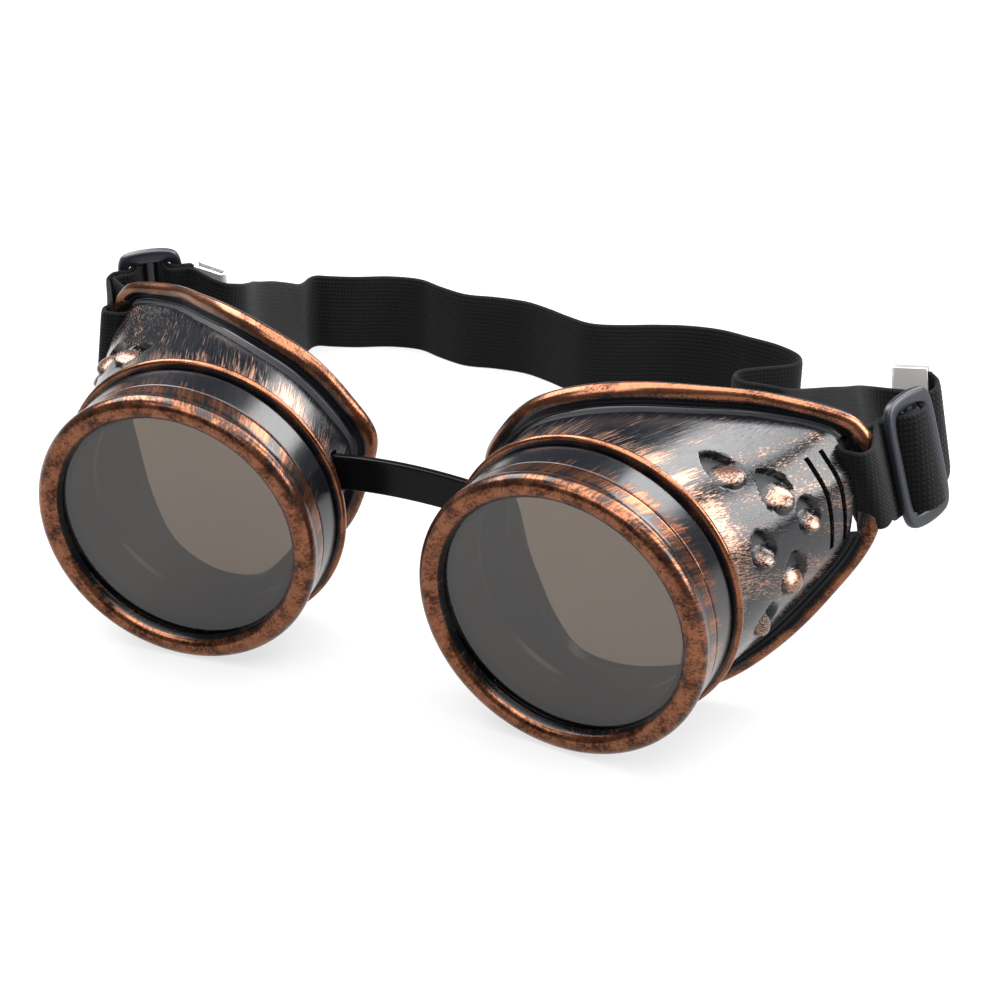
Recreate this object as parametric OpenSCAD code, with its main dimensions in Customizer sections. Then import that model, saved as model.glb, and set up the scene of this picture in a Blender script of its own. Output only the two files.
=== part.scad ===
// Steampunk goggles: two cup-shaped eye pieces with screwed-on lens rings,
// a flexible nose bridge and one elastic head band with two slide buckles.
// Millimetres. The front faces -Y, the table is z = 0, and left and right are
// as seen from the front. The origin is under the middle of the whole object.

/* [Lenses] */
// Diameter of each flat lens disc
lens_d = 50; // [49:0.5:51]
// Thickness of each lens disc
lens_t = 2; // [1.6:0.1:2.2]
// Thickness of the soft ring behind the lens
gasket_t = 0.8; // [0.6:0.1:1]

/* [Screw rings] */
// Thickness of the round bead at the front of the ring
bead_d = 4.6; // [4.2:0.1:5]
// Depth of the ring behind the middle of its bead
ring_depth = 12; // [11.6:0.1:12.6]
// Wall thickness of the ring round its thread
ring_wall = 1.5; // [1.3:0.1:1.6]
// Depth from the bead to the fine groove round the ring
groove_depth = 5.1; // [4.6:0.1:6]
// Rise of the screw thread in one turn
thread_pitch = 3; // [2.8:0.1:3.2]
// Height of the thread ridge
thread_height = 0.9; // [0.8:0.05:1]
// Length of the thread ridge in turns
thread_turns = 1.1; // [0.9:0.1:1.1]
// Gap between thread crest and the bore of the ring
thread_gap = 0.5; // [0.4:0.05:0.6]

/* [Cups] */
// Distance between the middles of the two lenses
eye_gap = 79.6; // [79:0.2:80.4]
// Angle by which each cup turns outward
toe = 5.6; // [5:0.1:6]
// Angle by which each cup looks down
pitch = 4; // [3.6:0.1:4.4]
// Wall thickness of the front tube of a cup
tube_wall = 2.2; // [1.8:0.1:2.4]
// Wall thickness of the side of a cup
cup_wall = 1.8; // [1.6:0.1:2]
// Thickness of the flange in front of the cup wall
flange_t = 1.8; // [1.6:0.1:2]
// Diameter of the thin bead round the flange
flange_bead_d = 1.7; // [1.4:0.1:2]
// Gap between the ring and the flange
flange_gap = 0.6; // [0.5:0.1:0.8]
// Width of the turned-out rim at the face
rim_width = 4.2; // [3.8:0.1:4.6]
// Thickness of the turned-out rim
rim_t = 2.5; // [2.2:0.1:2.8]
// Length of the almond hollows in the cup wall
hollow_l = 9.5; // [8:0.25:10]
// Width of the almond hollows
hollow_w = 6.6; // [5.5:0.1:7]
// Depth of the almond hollows
hollow_t = 0.9; // [0.6:0.1:1]
// Width of the two narrow slots at the temple
vent_w = 1.2; // [1:0.1:1.4]
// Length of the two narrow slots
vent_l = 18; // [16:0.5:19]
// Width of the slot for the band
band_slot_w = 2.4; // [2.2:0.1:2.5]

/* [Nose bridge] */
// Height of the bridge strip
bridge_h = 7.2; // [6.4:0.2:8]
// Thickness of the bridge strip
bridge_t = 1.8; // [1.4:0.1:2]
// Height of the middle of the bridge strip above the table
bridge_z = 38.2; // [37.6:0.2:38.8]
// Rise of the arched strip between its ends
bridge_arch = 1.2; // [0.6:0.2:1.6]

/* [Band] */
// Width of the elastic band
band_w = 20; // [19:0.25:20.2]
// Thickness of the elastic band
band_t = 1.2; // [1:0.05:1.25]
// Width of the band where the cup squeezes it
band_w_cup = 17.7; // [17:0.2:18.6]

/* [Buckles and tips] */
// Length of a buckle across the band
buckle_h = 26.8; // [26:0.2:27.4]
// Length of a buckle along the band
buckle_l = 14; // [14:0.1:14.4]
// Width of each of the three bars
buckle_bar = 2; // [1.9:0.05:2.1]
// Thickness of a buckle
buckle_t = 1.8; // [1.6:0.1:1.9]
// Size of a metal tip along the band
tip_l = 7.4; // [6.6:0.2:7.8]
// Size of a metal tip across the band
tip_h = 22; // [21.6:0.1:22.6]
// Thickness of the sheet of a metal tip
tip_sheet = 0.45; // [0.4:0.05:0.55]

/* [Hidden] */
$fn = 72;

// Radii round the lens axis, from the lens outward
lens_r = lens_d / 2;
lip_r = lens_r - 0.6;
seat_r = lens_r + 0.25;
tube_r = lens_r + 0.6;
tube_in = tube_r - tube_wall;
crest_r = tube_r + thread_height;
bore_r = crest_r + thread_gap;
skirt_r = bore_r + ring_wall;
bead_r = bead_d / 2;
bead_R = lip_r + bead_r;
flange_r = skirt_r + 0.55;
wall_r = skirt_r + 0.1;
fbead_r = flange_bead_d / 2;

// Depths behind the plane of the ring bead
lens_d0 = 0.6;
gasket_d0 = lens_d0 + lens_t;
tube_d0 = gasket_d0 + gasket_t;
flange_d0 = ring_depth + flange_gap;
wall_d0 = flange_d0 + flange_t;
thread_d0 = tube_d0 + 1.2;

// Places of the cups
cup_x = eye_gap / 2;
cup_z = bead_R * cos(pitch) + bead_r;
bridge_y = 19.4;

// Rim of the right cup: to the temple, up and back from the bead plane
rim_line = [
    [41.3, 0, 51], [41, 13, 54.5], [37, 20, 55], [32, 24, 53], [20, 27.8, 47],
    [10, 30.8, 39], [0, 32.6, 32], [-10, 31.6, 27.5], [-19.5, 27, 26.5],
    [-26.5, 19, 27.5], [-31, 10, 29], [-29, 0, 29], [-26, -9, 27.5],
    [-21, -16, 25], [-16, -22.3, 23.5], [-9, -28.1, 22.5], [0, -30.1, 23],
    [10, -29.8, 25.5], [20, -27.1, 30], [28.5, -20.5, 36.5], [35.5, -11.5, 44]];

// Almond hollows of the right cup: angle round the axis, depth, scale
hollows = [[48, 26, 1], [31, 31.7, 1], [17.5, 36.2, 0.8], [17, 23, 0.85],
    [1, 30.8, 1], [-13, 25, 0.85]];

// Band slot: middle and lean, seen along the axis and along the rim
slot_at = [35.7, 10, 50.3];
// Straight bar that the band goes round: its width and the slot's length
bar_w = 3.7;
band_slot_l = 19.8;
slot_lean = 14;
slot_rake = 9.6;

// Buckles: middle and turns about x, y and z
buckle_pose = [
    [[-85.2, 68, 44.5], [19, -3, 36]],
    [[89.1, 62.1, 43.2], [-17, -5, 68]]];

// Metal tips: middle of the open edge and turns about x, y and z
tip_pose = [
    [[-76.2, 72.9, 43.1], [15.7, 8.6, 0]],
    [[88.4, 76.2, 45.4], [0, 8.6, 180]]];

// Free tails between buckle and tip, as points in the middle of the band
tail_route = [
    [[-77.2, 72.4, 44]],
    [[91.45, 72.4, 44], [91.2, 75, 44.8], [89.9, 76.1, 45.3]]];

// Back run of the band: x, y and height of the upper edge, from the left
// buckle to the right one; it stands on its lower edge where this is band_w
back_route = [
    [-73.7, 67.6, 53.2], [-71.3, 67.2, 52.6], [-68.6, 66.9, 51.9], [-66.2, 67.5, 51.2],
    [-64.9, 69.6, 50.5], [-64.7, 72.8, 49.4], [-66.2, 77.2, 47.8], [-69, 83, 45.3],
    [-73, 91, 42], [-77, 99, 38.6], [-80.3, 108, 34.8], [-82.3, 118, 31],
    [-84, 128, 26.8], [-86, 138, 22.5], [-88.5, 146, 20],
    [-88, 150.5, 20], [-84, 152, 20], [-78, 154.3, 20], [-70, 158.5, 20],
    [-62, 160, 20], [-55, 157.5, 20], [-47, 155.5, 20], [-39, 157, 20],
    [-31, 157.5, 20], [-24, 155.5, 20], [-18, 153, 20], [-11, 151, 20],
    [-4, 153, 20], [4, 157, 20], [12, 160, 20], [20, 161, 20], [28, 159.5, 20],
    [35, 158, 20], [40.5, 155.2, 20], [42.9, 152.2, 20], [42.7, 149, 20],
    [40, 146, 20], [35, 142.3, 20], [31.5, 139, 20], [31.3, 135.6, 20],
    [34.5, 133.4, 20], [40, 133.6, 20], [45, 132.5, 20.5], [50.5, 124, 25],
    [55.5, 114.5, 30], [61, 105.5, 35], [66.3, 96, 40], [70.8, 87, 44.8],
    [73.8, 79, 48.6], [76.8, 74.3, 50.9], [80, 72.3, 52], [83, 72, 52.4],
    [85.2, 71.9, 52.5]];

function rx(v, a) = [v.x, v.y * cos(a) - v.z * sin(a), v.y * sin(a) + v.z * cos(a)];
function ry(v, a) = [v.x * cos(a) + v.z * sin(a), v.y, v.z * cos(a) - v.x * sin(a)];
function rz(v, a) = [v.x * cos(a) - v.y * sin(a), v.x * sin(a) + v.y * cos(a), v.z];
function turned(v, r) = rz(ry(rx(v, r.x), r.y), r.z);
function unit(v) = v / norm(v);
function cup_turn(s) = [90 + pitch, 0, -s * toe];
function cup_dir(s, v) = turned([s * v.x, v.y, -v.z], cup_turn(s));
function cup_point(s, v) = [s * cup_x, 0, cup_z] + cup_dir(s, v);

// Smooth curve through points, four at a time
function blend4(a, b, c, d, t) = 0.5 * (2 * b + (c - a) * t
    + (2 * a - 5 * b + 4 * c - d) * t * t + (3 * b - a - 3 * c + d) * t * t * t);
function open_curve(p, n) = [
    for (i = [0 : len(p) - 2]) for (k = [0 : n - 1])
        blend4(p[max(i - 1, 0)], p[i], p[i + 1], p[min(i + 2, len(p) - 1)], k / n),
    p[len(p) - 1]];
function ring_curve(p, n) = [
    for (i = [0 : len(p) - 1]) for (k = [0 : n - 1])
        blend4(p[(i + len(p) - 1) % len(p)], p[i], p[(i + 1) % len(p)],
            p[(i + 2) % len(p)], k / n)];

// Rim radius and depth as functions of the angle round the axis
rim_fine = ring_curve(rim_line, 8);
rim_angle = [for (p = rim_fine) (atan2(p.y, p.x) + 360) % 360];
rim_r_table = concat(
    [for (i = [0 : len(rim_fine) - 1]) [rim_angle[i], norm([rim_fine[i].x, rim_fine[i].y])]],
    [[360, norm([rim_line[0].x, rim_line[0].y])]]);
rim_d_table = concat(
    [for (i = [0 : len(rim_fine) - 1]) [rim_angle[i], rim_fine[i].z]],
    [[360, rim_line[0].z]]);
function rim_r(a) = lookup((a + 360) % 360, rim_r_table);
function rim_d(a) = lookup((a + 360) % 360, rim_d_table);
function wall_radius(a, d) = let (f = (d - wall_d0) / (rim_d(a) - 3.5 - wall_d0))
    wall_r + f * (rim_r(a) - rim_width - wall_r);

// Section of the cup wall and rim at one angle, as radius and depth
function wall_section(a) = let (
    R = rim_r(a), D = rim_d(a), e = R - rim_width, h = rim_t / 2, d0 = wall_d0 - 0.4) [
    [wall_r, d0], [(wall_r + e) / 2, (d0 + D - 3.5) / 2], [e, D - 3.5],
    [R - 0.6, D - h], [R, D - h + 0.6], [R, D + h - 0.6], [R - 0.6, D + h],
    [e - cup_wall, D + h - 0.4], [e - cup_wall - 0.3, D - 3],
    [(wall_r + e) / 2 - cup_wall, (d0 + D - 3.5) / 2], [wall_r - cup_wall, d0]];

// Solid through a row of equal closed outlines, with flat ends or joined round
module skin(given, round = false) {
    n = len(given);
    m = len(given[0]);
    // outlines run so that the outside is on the outside of the solid
    rows = round ? [for (i = [n - 1 : -1 : 0]) given[i]] : given;
    last = round ? n - 1 : n - 2;
    sides = [for (i = [0 : last]) for (j = [0 : m - 1]) let (
        a = i * m + j, b = i * m + (j + 1) % m,
        c = ((i + 1) % n) * m + (j + 1) % m, d = ((i + 1) % n) * m + j)
        each [[a, b, c], [a, c, d]]];
    ends = round ? [] : [[for (j = [m - 1 : -1 : 0]) j],
        [for (j = [0 : m - 1]) (n - 1) * m + j]];
    polyhedron(points = [for (r = rows) each r], faces = concat(sides, ends));
}

// Flat band through stations of seven numbers: middle point, width direction, width
function band_dir(st, i) = let (
    a = st[max(i - 1, 0)], b = st[min(i + 1, len(st) - 1)])
    unit([b[0] - a[0], b[1] - a[1], b[2] - a[2]]);
function band_row(st, i) = let (
    p = [st[i][0], st[i][1], st[i][2]],
    t = band_dir(st, i),
    w = unit([st[i][3], st[i][4], st[i][5]]) * st[i][6] / 2,
    n = unit(cross(t, w)) * band_t / 2)
    [p + w - n, p - w - n, p - w + n, p + w + n];
module band(st) {
    skin([for (i = [0 : len(st) - 1]) band_row(st, i)]);
}

// Buckle frame: a along the band away from the cup, n outward, h across
function pose(s) = buckle_pose[s > 0 ? 1 : 0];
function buckle_dir(s, a, n, h) = turned([a, -s * n, h], pose(s)[1]);
function buckle_point(s, a, n, h = 0) = pose(s)[0] + buckle_dir(s, a, n, h);
function at_buckle(s, a, n) = concat(buckle_point(s, a, n), buckle_dir(s, 0, 0, 1), band_w);
slot_dir = unit([-tan(slot_lean), 1, tan(slot_rake)]);
function at_lug(s, u, d) = concat(cup_point(s, [u, slot_at.y, d]), cup_dir(s, slot_dir),
    band_w_cup);

// Woven band: over the middle bar, under the two outer ones
bar_step = (buckle_l - buckle_bar) / 2;
lift = buckle_t / 2 + 0.25 + band_t / 2;
low = lift + band_t + 0.1;
weave_in = [[bar_step + 0.4, -low], [4.8, 0.1 - low], [3.7, 0.55 - low],
    [2.9, 1.65 - low], [2.4, -0.2], [1.9, lift - 0.85], [1, lift - 0.1], [0, lift]];
weave_out = [[bar_step + 0.4, -lift], [bar_step - 1, 0.1 - lift], [4.1, 0.85 - lift],
    [3.6, 0.2], [3.1, low - 1.65], [2.3, low - 0.55], [1.2, low - 0.1], [0, low]];
function flip(w) = [for (i = [len(w) - 2 : -1 : 0]) [-w[i][0], w[i][1]]];

loop_end = buckle_l / 2 + 0.6;
function tip(s) = tip_pose[s > 0 ? 1 : 0];
function at_tip(s, a) = concat(tip(s)[0] + turned([a, 0, 0], tip(s)[1]),
    turned([0, 0, 1], tip(s)[1]), band_w);
function tail_lean(s) = unit(buckle_dir(s, 0, 0, 1) + turned([0, 0, 1], tip(s)[1]));

// The bends between buckle and cup: inner and outer layer
bend_in = [[[-7.3, -low - 0.25], [-7.9, -low - 1.2]], [[-buckle_l / 2 - 1, -low]]];
bend_out = [[[-9.5, -lift - 3.2], [-9.3, -lift - 1.4], [-8.1, -lift - 0.2]],
    [[-buckle_l / 2 - 1, 0.15 - lift]]];
function loop_route(s) = concat(
    [at_buckle(s, loop_end, -low)],
    [for (q = weave_in) at_buckle(s, q[0], q[1])],
    [for (q = flip(weave_in)) at_buckle(s, q[0], q[1])],
    [for (q = bend_in[s > 0 ? 1 : 0]) at_buckle(s, q[0], q[1])],
    [for (q = [[34.6, 57], [34.4, 55], [34.4, 52.7], [34.9, 51.2], [36.1, 50.4],
        [37.4, 50.3], [38.9, 50.3], [40, 50.8], [40.6, 52.2], [40.6, 54.6]])
        at_lug(s, q[0], q[1])],
    [for (q = bend_out[s > 0 ? 1 : 0]) at_buckle(s, q[0], q[1])],
    [for (i = [0 : 7]) let (q = weave_out[i]) at_buckle(s, -q[0], q[1])],
    [for (q = flip(weave_out)) at_buckle(s, -q[0], q[1])],
    [at_buckle(s, loop_end, -lift)],
    [for (q = tail_route[s > 0 ? 1 : 0]) concat(q, tail_lean(s), band_w)],
    [at_tip(s, 0), at_tip(s, tip_l - tip_sheet - 0.1)]);

// Back run: the upper edge and the lean are joined to both buckles
function edge_of(s, a) = buckle_point(s, a, -low - (a - loop_end) / 4, band_w / 2);
function lean_at(s, f) = let (w = buckle_dir(s, 0, 0, 1)) unit(f * w + (1 - f) * [0, 0, 1]);
back_top = concat(
    [edge_of(-1, loop_end + 0.15), edge_of(-1, loop_end + 0.7)], back_route,
    [edge_of(1, loop_end + 0.7), edge_of(1, loop_end + 0.15)]);
back_edge = [for (p = open_curve(back_top, 3)) [p.x, p.y, max(p.z, band_w)]];
back_n = len(back_edge);
function back_lean(i) = let (z = back_edge[i].z, f = min(1, (z - band_w) / 30))
    lean_at(i < back_n / 2 ? -1 : 1, f);
back_stations = [for (i = [0 : back_n - 1]) let (w = back_lean(i))
    concat(back_edge[i] - w * band_w / 2, w, band_w)];

// Middle of the whole object from side to side and from front to back
mid_x = 1.465;
front_y = bead_R * sqrt(1 - pow(cos(toe) * cos(pitch), 2)) + bead_r;
rear_y = max([for (p = back_stations) p[1]]) + band_t / 2;
mid_y = (rear_y - front_y) / 2;

module whole() {
    translate([-mid_x, -mid_y, 0]) children();
}

module on_cup(s) {
    translate([s * cup_x, 0, cup_z]) rotate(cup_turn(s)) children();
}

module on_buckle(s) {
    translate(pose(s)[0]) rotate(pose(s)[1]) children();
}

module handed(s) {
    if (s > 0) {
        children();
    } else {
        mirror([1, 0, 0]) children();
    }
}

// Screw ridge between two radii, rising toward the front
module ridge(r_root, r_top, d0) {
    steps = 48;
    half = 0.65;
    tip = 0.35;
    way = r_top > r_root ? 1 : -1;
    rows = [for (i = [0 : round(thread_turns * steps)]) let (
        a = i * 360 / steps, z = thread_pitch * (i / steps - thread_turns) - d0) [
        [r_root * cos(a), r_root * sin(a), z - half * way],
        [r_top * cos(a), r_top * sin(a), z - tip * way],
        [r_top * cos(a), r_top * sin(a), z + tip * way],
        [r_root * cos(a), r_root * sin(a), z + half * way]]];
    skin(rows);
}

module tube(r_out, r_in, d0, d1) {
    rotate_extrude() translate([r_in, -d1]) square([r_out - r_in, d1 - d0]);
}

module hollow_place(q) {
    a = q[0];
    d = q[1];
    tilt = atan((wall_radius(a, d + 1) - wall_radius(a, d - 1)) / 2);
    rotate([0, 0, a]) translate([wall_radius(a, d), 0, -d]) rotate([0, 90 - tilt, 0])
        scale(q[2]) children();
}

module almond() {
    q = (pow(hollow_l / 2, 2) + pow(hollow_w / 2, 2)) / hollow_w;
    translate([0, 0, -hollow_t]) linear_extrude(4) intersection() {
        translate([q - hollow_w / 2, 0]) circle(q);
        translate([hollow_w / 2 - q, 0]) circle(q);
    }
}

module cup_side() {
    skin([for (i = [0 : 59]) let (a = i * 6) [for (q = wall_section(a))
        [q[0] * cos(a), q[0] * sin(a), -q[1]]]], true);
}

module slots() {
    for (d = [42, 46]) {
        translate([36, slot_at.y, -d]) cube([14, vent_l, vent_w], center = true);
    }
    translate([slot_at.x, slot_at.y, -slot_at.z]) rotate([-slot_rake, 0, slot_lean]) {
        translate([-6, -band_slot_l / 2, -band_slot_w / 2]) cube([16, band_slot_l, band_slot_w]);
        translate([-9, -band_slot_l / 2, -8]) cube([9, band_slot_l, 8]);
        translate([bar_w, -band_slot_l / 2, -8]) cube([9, band_slot_l, 8]);
    }
}

module bridge_slot(s) {
    translate([s * 17, bridge_y, bridge_z - 0.6])
        cube([9, bridge_t + 0.6, bridge_h + 1.6], center = true);
}

module cup(s) {
    color([0.55, 0.36, 0.25]) whole() difference() {
        on_cup(s) {
            tube(tube_r, tube_in, tube_d0, flange_d0 + 0.4);
            tube(flange_r, tube_in, flange_d0, wall_d0);
            rotate_extrude() translate([flange_r, -flange_d0 - flange_t / 2]) circle(fbead_r);
            ridge(tube_r - 0.3, crest_r, thread_d0);
            handed(s) difference() {
                cup_side();
                slots();
                for (q = hollows) {
                    hollow_place(q) almond();
                }
            }
            handed(s) for (q = hollows) {
                hollow_place(q) translate([0, -0.8, -1.2])
                    cylinder(h = 1.1, r1 = 2.2, r2 = 1.3);
            }
        }
        bridge_slot(s);
    }
}

module screw_ring(s) {
    color([0.62, 0.4, 0.27]) whole() on_cup(s) {
        rotate_extrude() difference() {
            union() {
                translate([bead_R, 0]) circle(bead_r);
                translate([lip_r, -ring_depth]) square([skirt_r - lip_r, ring_depth - 0.2]);
            }
            polygon([[lip_r - 1, -lens_d0], [seat_r, -lens_d0], [seat_r, -gasket_d0 - 0.1],
                [bore_r, -gasket_d0 - 0.5], [bore_r, -ring_depth - 1],
                [lip_r - 1, -ring_depth - 1]]);
            translate([skirt_r - 0.25, -groove_depth - 0.15]) square([1, 0.3]);
        }
        ridge(bore_r + 0.3, tube_r + 0.4, thread_d0 + thread_pitch / 2);
    }
}

module lens(s) {
    color([0.35, 0.32, 0.28, 0.6]) whole() on_cup(s)
        translate([0, 0, -gasket_d0]) cylinder(h = lens_t, r = lens_r);
}

module gasket(s) {
    color([0.1, 0.1, 0.1]) whole() on_cup(s) tube(lens_r, tube_in, gasket_d0, tube_d0);
}

// Arched strip with a wider head inside each cup
module nose_bridge() {
    top = [for (x = [-22 : 2 : 22]) [x, bridge_arch * (1 - pow(x / 17, 2)) - bridge_arch / 2
        + (abs(x) > 19 ? bridge_h / 2 + 1.6 : bridge_h / 2)]];
    low_edge = [for (x = [22 : -2 : -22]) [x, bridge_arch * (1 - pow(x / 17, 2))
        - bridge_arch / 2 - (abs(x) > 19 ? bridge_h / 2 + 1.6 : bridge_h / 2)]];
    color([0.08, 0.08, 0.09]) whole() translate([0, bridge_y + bridge_t / 2, bridge_z])
        rotate([90, 0, 0]) linear_extrude(bridge_t) polygon(concat(top, low_edge));
}

module strap_back() {
    color([0.12, 0.12, 0.13]) whole() band(back_stations);
}

module strap_loop(s) {
    color([0.13, 0.13, 0.14]) whole() band(open_curve(loop_route(s), 2));
}

// Three-bar buckle with bowed ends
module slide_buckle(s) {
    bow = (pow(buckle_l / 2, 2) + 2.25) / 3;
    win = bar_step - buckle_bar;
    color([0.18, 0.19, 0.22]) whole() on_buckle(s)
        rotate([90, 0, 0]) translate([0, 0, -buckle_t / 2]) linear_extrude(buckle_t)
        difference() {
            intersection() {
                square([buckle_l, buckle_h], center = true);
                translate([0, bow - buckle_h / 2]) circle(bow);
                translate([0, buckle_h / 2 - bow]) circle(bow);
            }
            for (x = [-1, 1]) {
                translate([x * bar_step / 2, 0]) square([win, band_w + 0.7], center = true);
            }
        }
}

// Folded metal clip round the end of the band
module strap_tip(s) {
    t = band_t + 2 * tip_sheet + 0.1;
    color([0.6, 0.6, 0.6]) whole() translate(tip(s)[0]) rotate(tip(s)[1])
        translate([0, -t / 2, -tip_h / 2]) difference() {
            cube([tip_l, t, tip_h]);
            translate([-1, tip_sheet, (tip_h - band_w) / 2 - 0.1])
                cube([tip_l - tip_sheet + 1, band_t + 0.1, band_w + 0.2]);
        }
}

cup(-1);  // left_cup
cup(1);  // right_cup
screw_ring(-1);  // left_screw_ring
screw_ring(1);  // right_screw_ring
lens(-1);  // left_lens
lens(1);  // right_lens
gasket(-1);  // left_lens_gasket
gasket(1);  // right_lens_gasket
nose_bridge();
strap_back();
strap_loop(-1);  // left_strap_loop
strap_loop(1);  // right_strap_loop
slide_buckle(-1);  // left_slide_buckle
slide_buckle(1);  // right_slide_buckle
strap_tip(-1);  // left_strap_tip
strap_tip(1);  // right_strap_tip
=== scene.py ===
"""Steampunk goggles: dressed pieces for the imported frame, laid out as a Blender add-on.

Sizes are in millimetres in the functions and become metres where a mesh is made.
Left and right are as seen from the front. x runs to the right cup, y to the back of
the band, and z up from the table.
"""
import math

import bmesh
import bpy
import numpy as np
from mathutils import Matrix, Vector


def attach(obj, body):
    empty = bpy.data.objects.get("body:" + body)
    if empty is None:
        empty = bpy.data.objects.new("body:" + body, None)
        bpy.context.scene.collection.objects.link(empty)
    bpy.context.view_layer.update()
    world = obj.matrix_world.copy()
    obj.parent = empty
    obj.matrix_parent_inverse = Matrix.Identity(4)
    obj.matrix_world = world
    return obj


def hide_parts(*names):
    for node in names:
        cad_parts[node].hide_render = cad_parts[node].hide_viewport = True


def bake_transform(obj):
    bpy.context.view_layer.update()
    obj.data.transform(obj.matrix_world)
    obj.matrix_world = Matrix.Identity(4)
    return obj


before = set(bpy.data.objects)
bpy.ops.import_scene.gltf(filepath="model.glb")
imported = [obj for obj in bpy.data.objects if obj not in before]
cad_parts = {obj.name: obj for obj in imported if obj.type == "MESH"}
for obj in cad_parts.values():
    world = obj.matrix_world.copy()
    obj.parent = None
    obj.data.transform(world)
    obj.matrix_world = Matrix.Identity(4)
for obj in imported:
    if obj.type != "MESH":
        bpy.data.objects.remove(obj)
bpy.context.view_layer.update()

bl_info = {
    "name": "Steampunk Goggles",
    "version": (1, 0, 0),
    "blender": (4, 5, 0),
    "location": "3D View > Sidebar > Goggles",
    "description": "Builds the dressed pieces of a pair of round goggles with a band",
    "category": "Object",
}

# ---------------------------------------------------------------- measured sizes
# Cups and rings: R is a radius and D a depth behind the middle of the bead.
LENS_R = 25.0
LIP_R = 24.4
TUBE_R = 25.6
TUBE_IN = 23.4
CREST_R = 26.5
BORE_R = 27.0
SKIRT_R = 28.5
BEAD_R = 2.3
BEAD_AT = 26.7
FLANGE_R = 29.05
FLANGE_BEAD = 0.85
WALL_R = 28.6
LENS_D = 0.6
GASKET_D = 2.6
TUBE_D = 3.4
RING_D = 12.0
FLANGE_D = 12.6
WALL_D = 14.4
GROOVE_D = 5.1
CUP_WALL = 1.8
RIM_W = 4.2
RIM_DROP = 3.5
# The cups' pose: turned down, turned out, and the place of each bead's middle.
PITCH = 4.0
TOE = 5.6
CUP_X = 39.8
CUP_Z = BEAD_AT * math.cos(math.radians(PITCH)) + BEAD_R
# The screw ridge's pitch, length in turns, place and half widths.
THREAD_PITCH = 3.0
THREAD_TURNS = 1.1
THREAD_D = TUBE_D + 1.2
RIDGE_ROOT = 0.65
RIDGE_TOP = 0.35
# Middle of the whole object, which is the frame's origin.
MID = np.array([1.465, 78.0509, 0.0])

# The rim's edge in a cup's own frame: to the temple, up, back.
RIM_LINE = np.array([
    [41.3, 0, 51], [41, 13, 54.5], [37, 20, 55], [32, 24, 53], [20, 27.8, 47],
    [10, 30.8, 39], [0, 32.6, 32], [-10, 31.6, 27.5], [-19.5, 27, 26.5],
    [-26.5, 19, 27.5], [-31, 10, 29], [-29, 0, 29], [-26, -9, 27.5],
    [-21, -16, 25], [-16, -22.3, 23.5], [-9, -28.1, 22.5], [0, -30.1, 23],
    [10, -29.8, 25.5], [20, -27.1, 30], [28.5, -20.5, 36.5], [35.5, -11.5, 44]])
# Section of the rolled rim: offsets of radius and depth from the wall's end (0) or the edge (1).
RIM_PROFILE = ((0, 0, -RIM_DROP), (0, 0.15, -2.7), (0, 0.6, -2.25), (1, -1.9, -2.2),
               (1, -0.6, -1.45), (1, 0, -0.1), (1, -0.5, 1.0), (1, -1.6, 1.28), (0, -0.6, 1.1),
               (0, -1.8, 0.3), (0, -2.05, -1.2), (0, -2.0, -3.2))
# The almond hollows: shape, the span of angles they lie in, and angle, depth and size of each.
HOLLOW_L = 11.4
HOLLOW_LOW = 0.6
HOLLOW_W = 7.8
HOLLOW_DEPTH = 1.6
BOSS_H = 1.5
HOLLOW_ARC = (-34, 68)
HOLLOWS = [(48, 26, 1), (31, 31.7, 1), (17.5, 36.2, 0.8), (17, 23, 0.85), (1, 30.8, 1),
           (-13, 25, 0.85)]
# The band slot and its bar, the two narrow vents, and the bridge.
SLOT_AT = np.array([35.7, 10, 50.3])
SLOT_LEAN = 14.0
SLOT_RAKE = 9.6
BAR_W = 3.7
SLOT_L = 19.8
SLOT_W = 2.4
SLOT_CUT = 16
RECESS_L = 9
RECESS_H = 8
VENT_AT = (29, 1)
VENT_SIZE = (14, 18)
VENT_W = 1.2
VENT_DEPTHS = (42, 46)
BRIDGE_Y = 19.4
BRIDGE_Z = 38.2
BRIDGE_HALF = 3.6
CUP_SMOOTH = 38
# Paint: bristles, flecks and patches for each millimetre and their strength; the strokes' twist
# and shortening; the cover that leaves a place bare or paints the rim; the grip of even paint.
CUP_BRUSH = (3.4, 5.5, 0.2, 0.9)
RING_BRUSH = (2.1, 6.0, 0.3, 0.6)
STROKE_TWIST = 0.012
CUP_DRAW = 0.045
RING_DRAW = 0.12
BARE = -0.6
BARE_TUBE = -0.4
LEAST_COVER = -0.3
RIM_COVER = 0.92
SMOOTH_GRIP = 0.35
RUBBER_BLACK = (0.012, 0.012, 0.012)
BRIDGE_BLACK = (0.002, 0.002, 0.0025)

# Band, buckles and tips. H lies across the band and L along it.
BAND_W = 20.0
BAND_T = 1.2
BAND_W_CUP = 17.7
BUCKLE_H = 26.8
BUCKLE_L = 14.0
BUCKLE_BAR = 2.0
BUCKLE_T = 1.8
BUCKLE_CORNER = 7
BUCKLE_BOW = 1.1
BUCKLE_RIM = 0.15
BUCKLE_PLAY = 0.35
TIP_L = 7.4
TIP_H = 22.0
TIP_SHEET = 0.45
LEAD_L = 19.0
# Points of the band's curves for each given point.
LOOP_STEPS = 6
BACK_STEPS = 8
# Places and turns about x, y and z of the left (-1) and right (1) buckle and tip.
BUCKLE_POSE = {-1: ((-85.2, 68, 44.5), (19, -3, 36)), 1: ((89.1, 62.1, 43.2), (-17, -5, 68))}
TIP_POSE = {-1: ((-76.2, 72.9, 43.1), (15.7, 8.6, 0)), 1: ((88.4, 76.2, 45.4), (0, 8.6, 180))}
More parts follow.
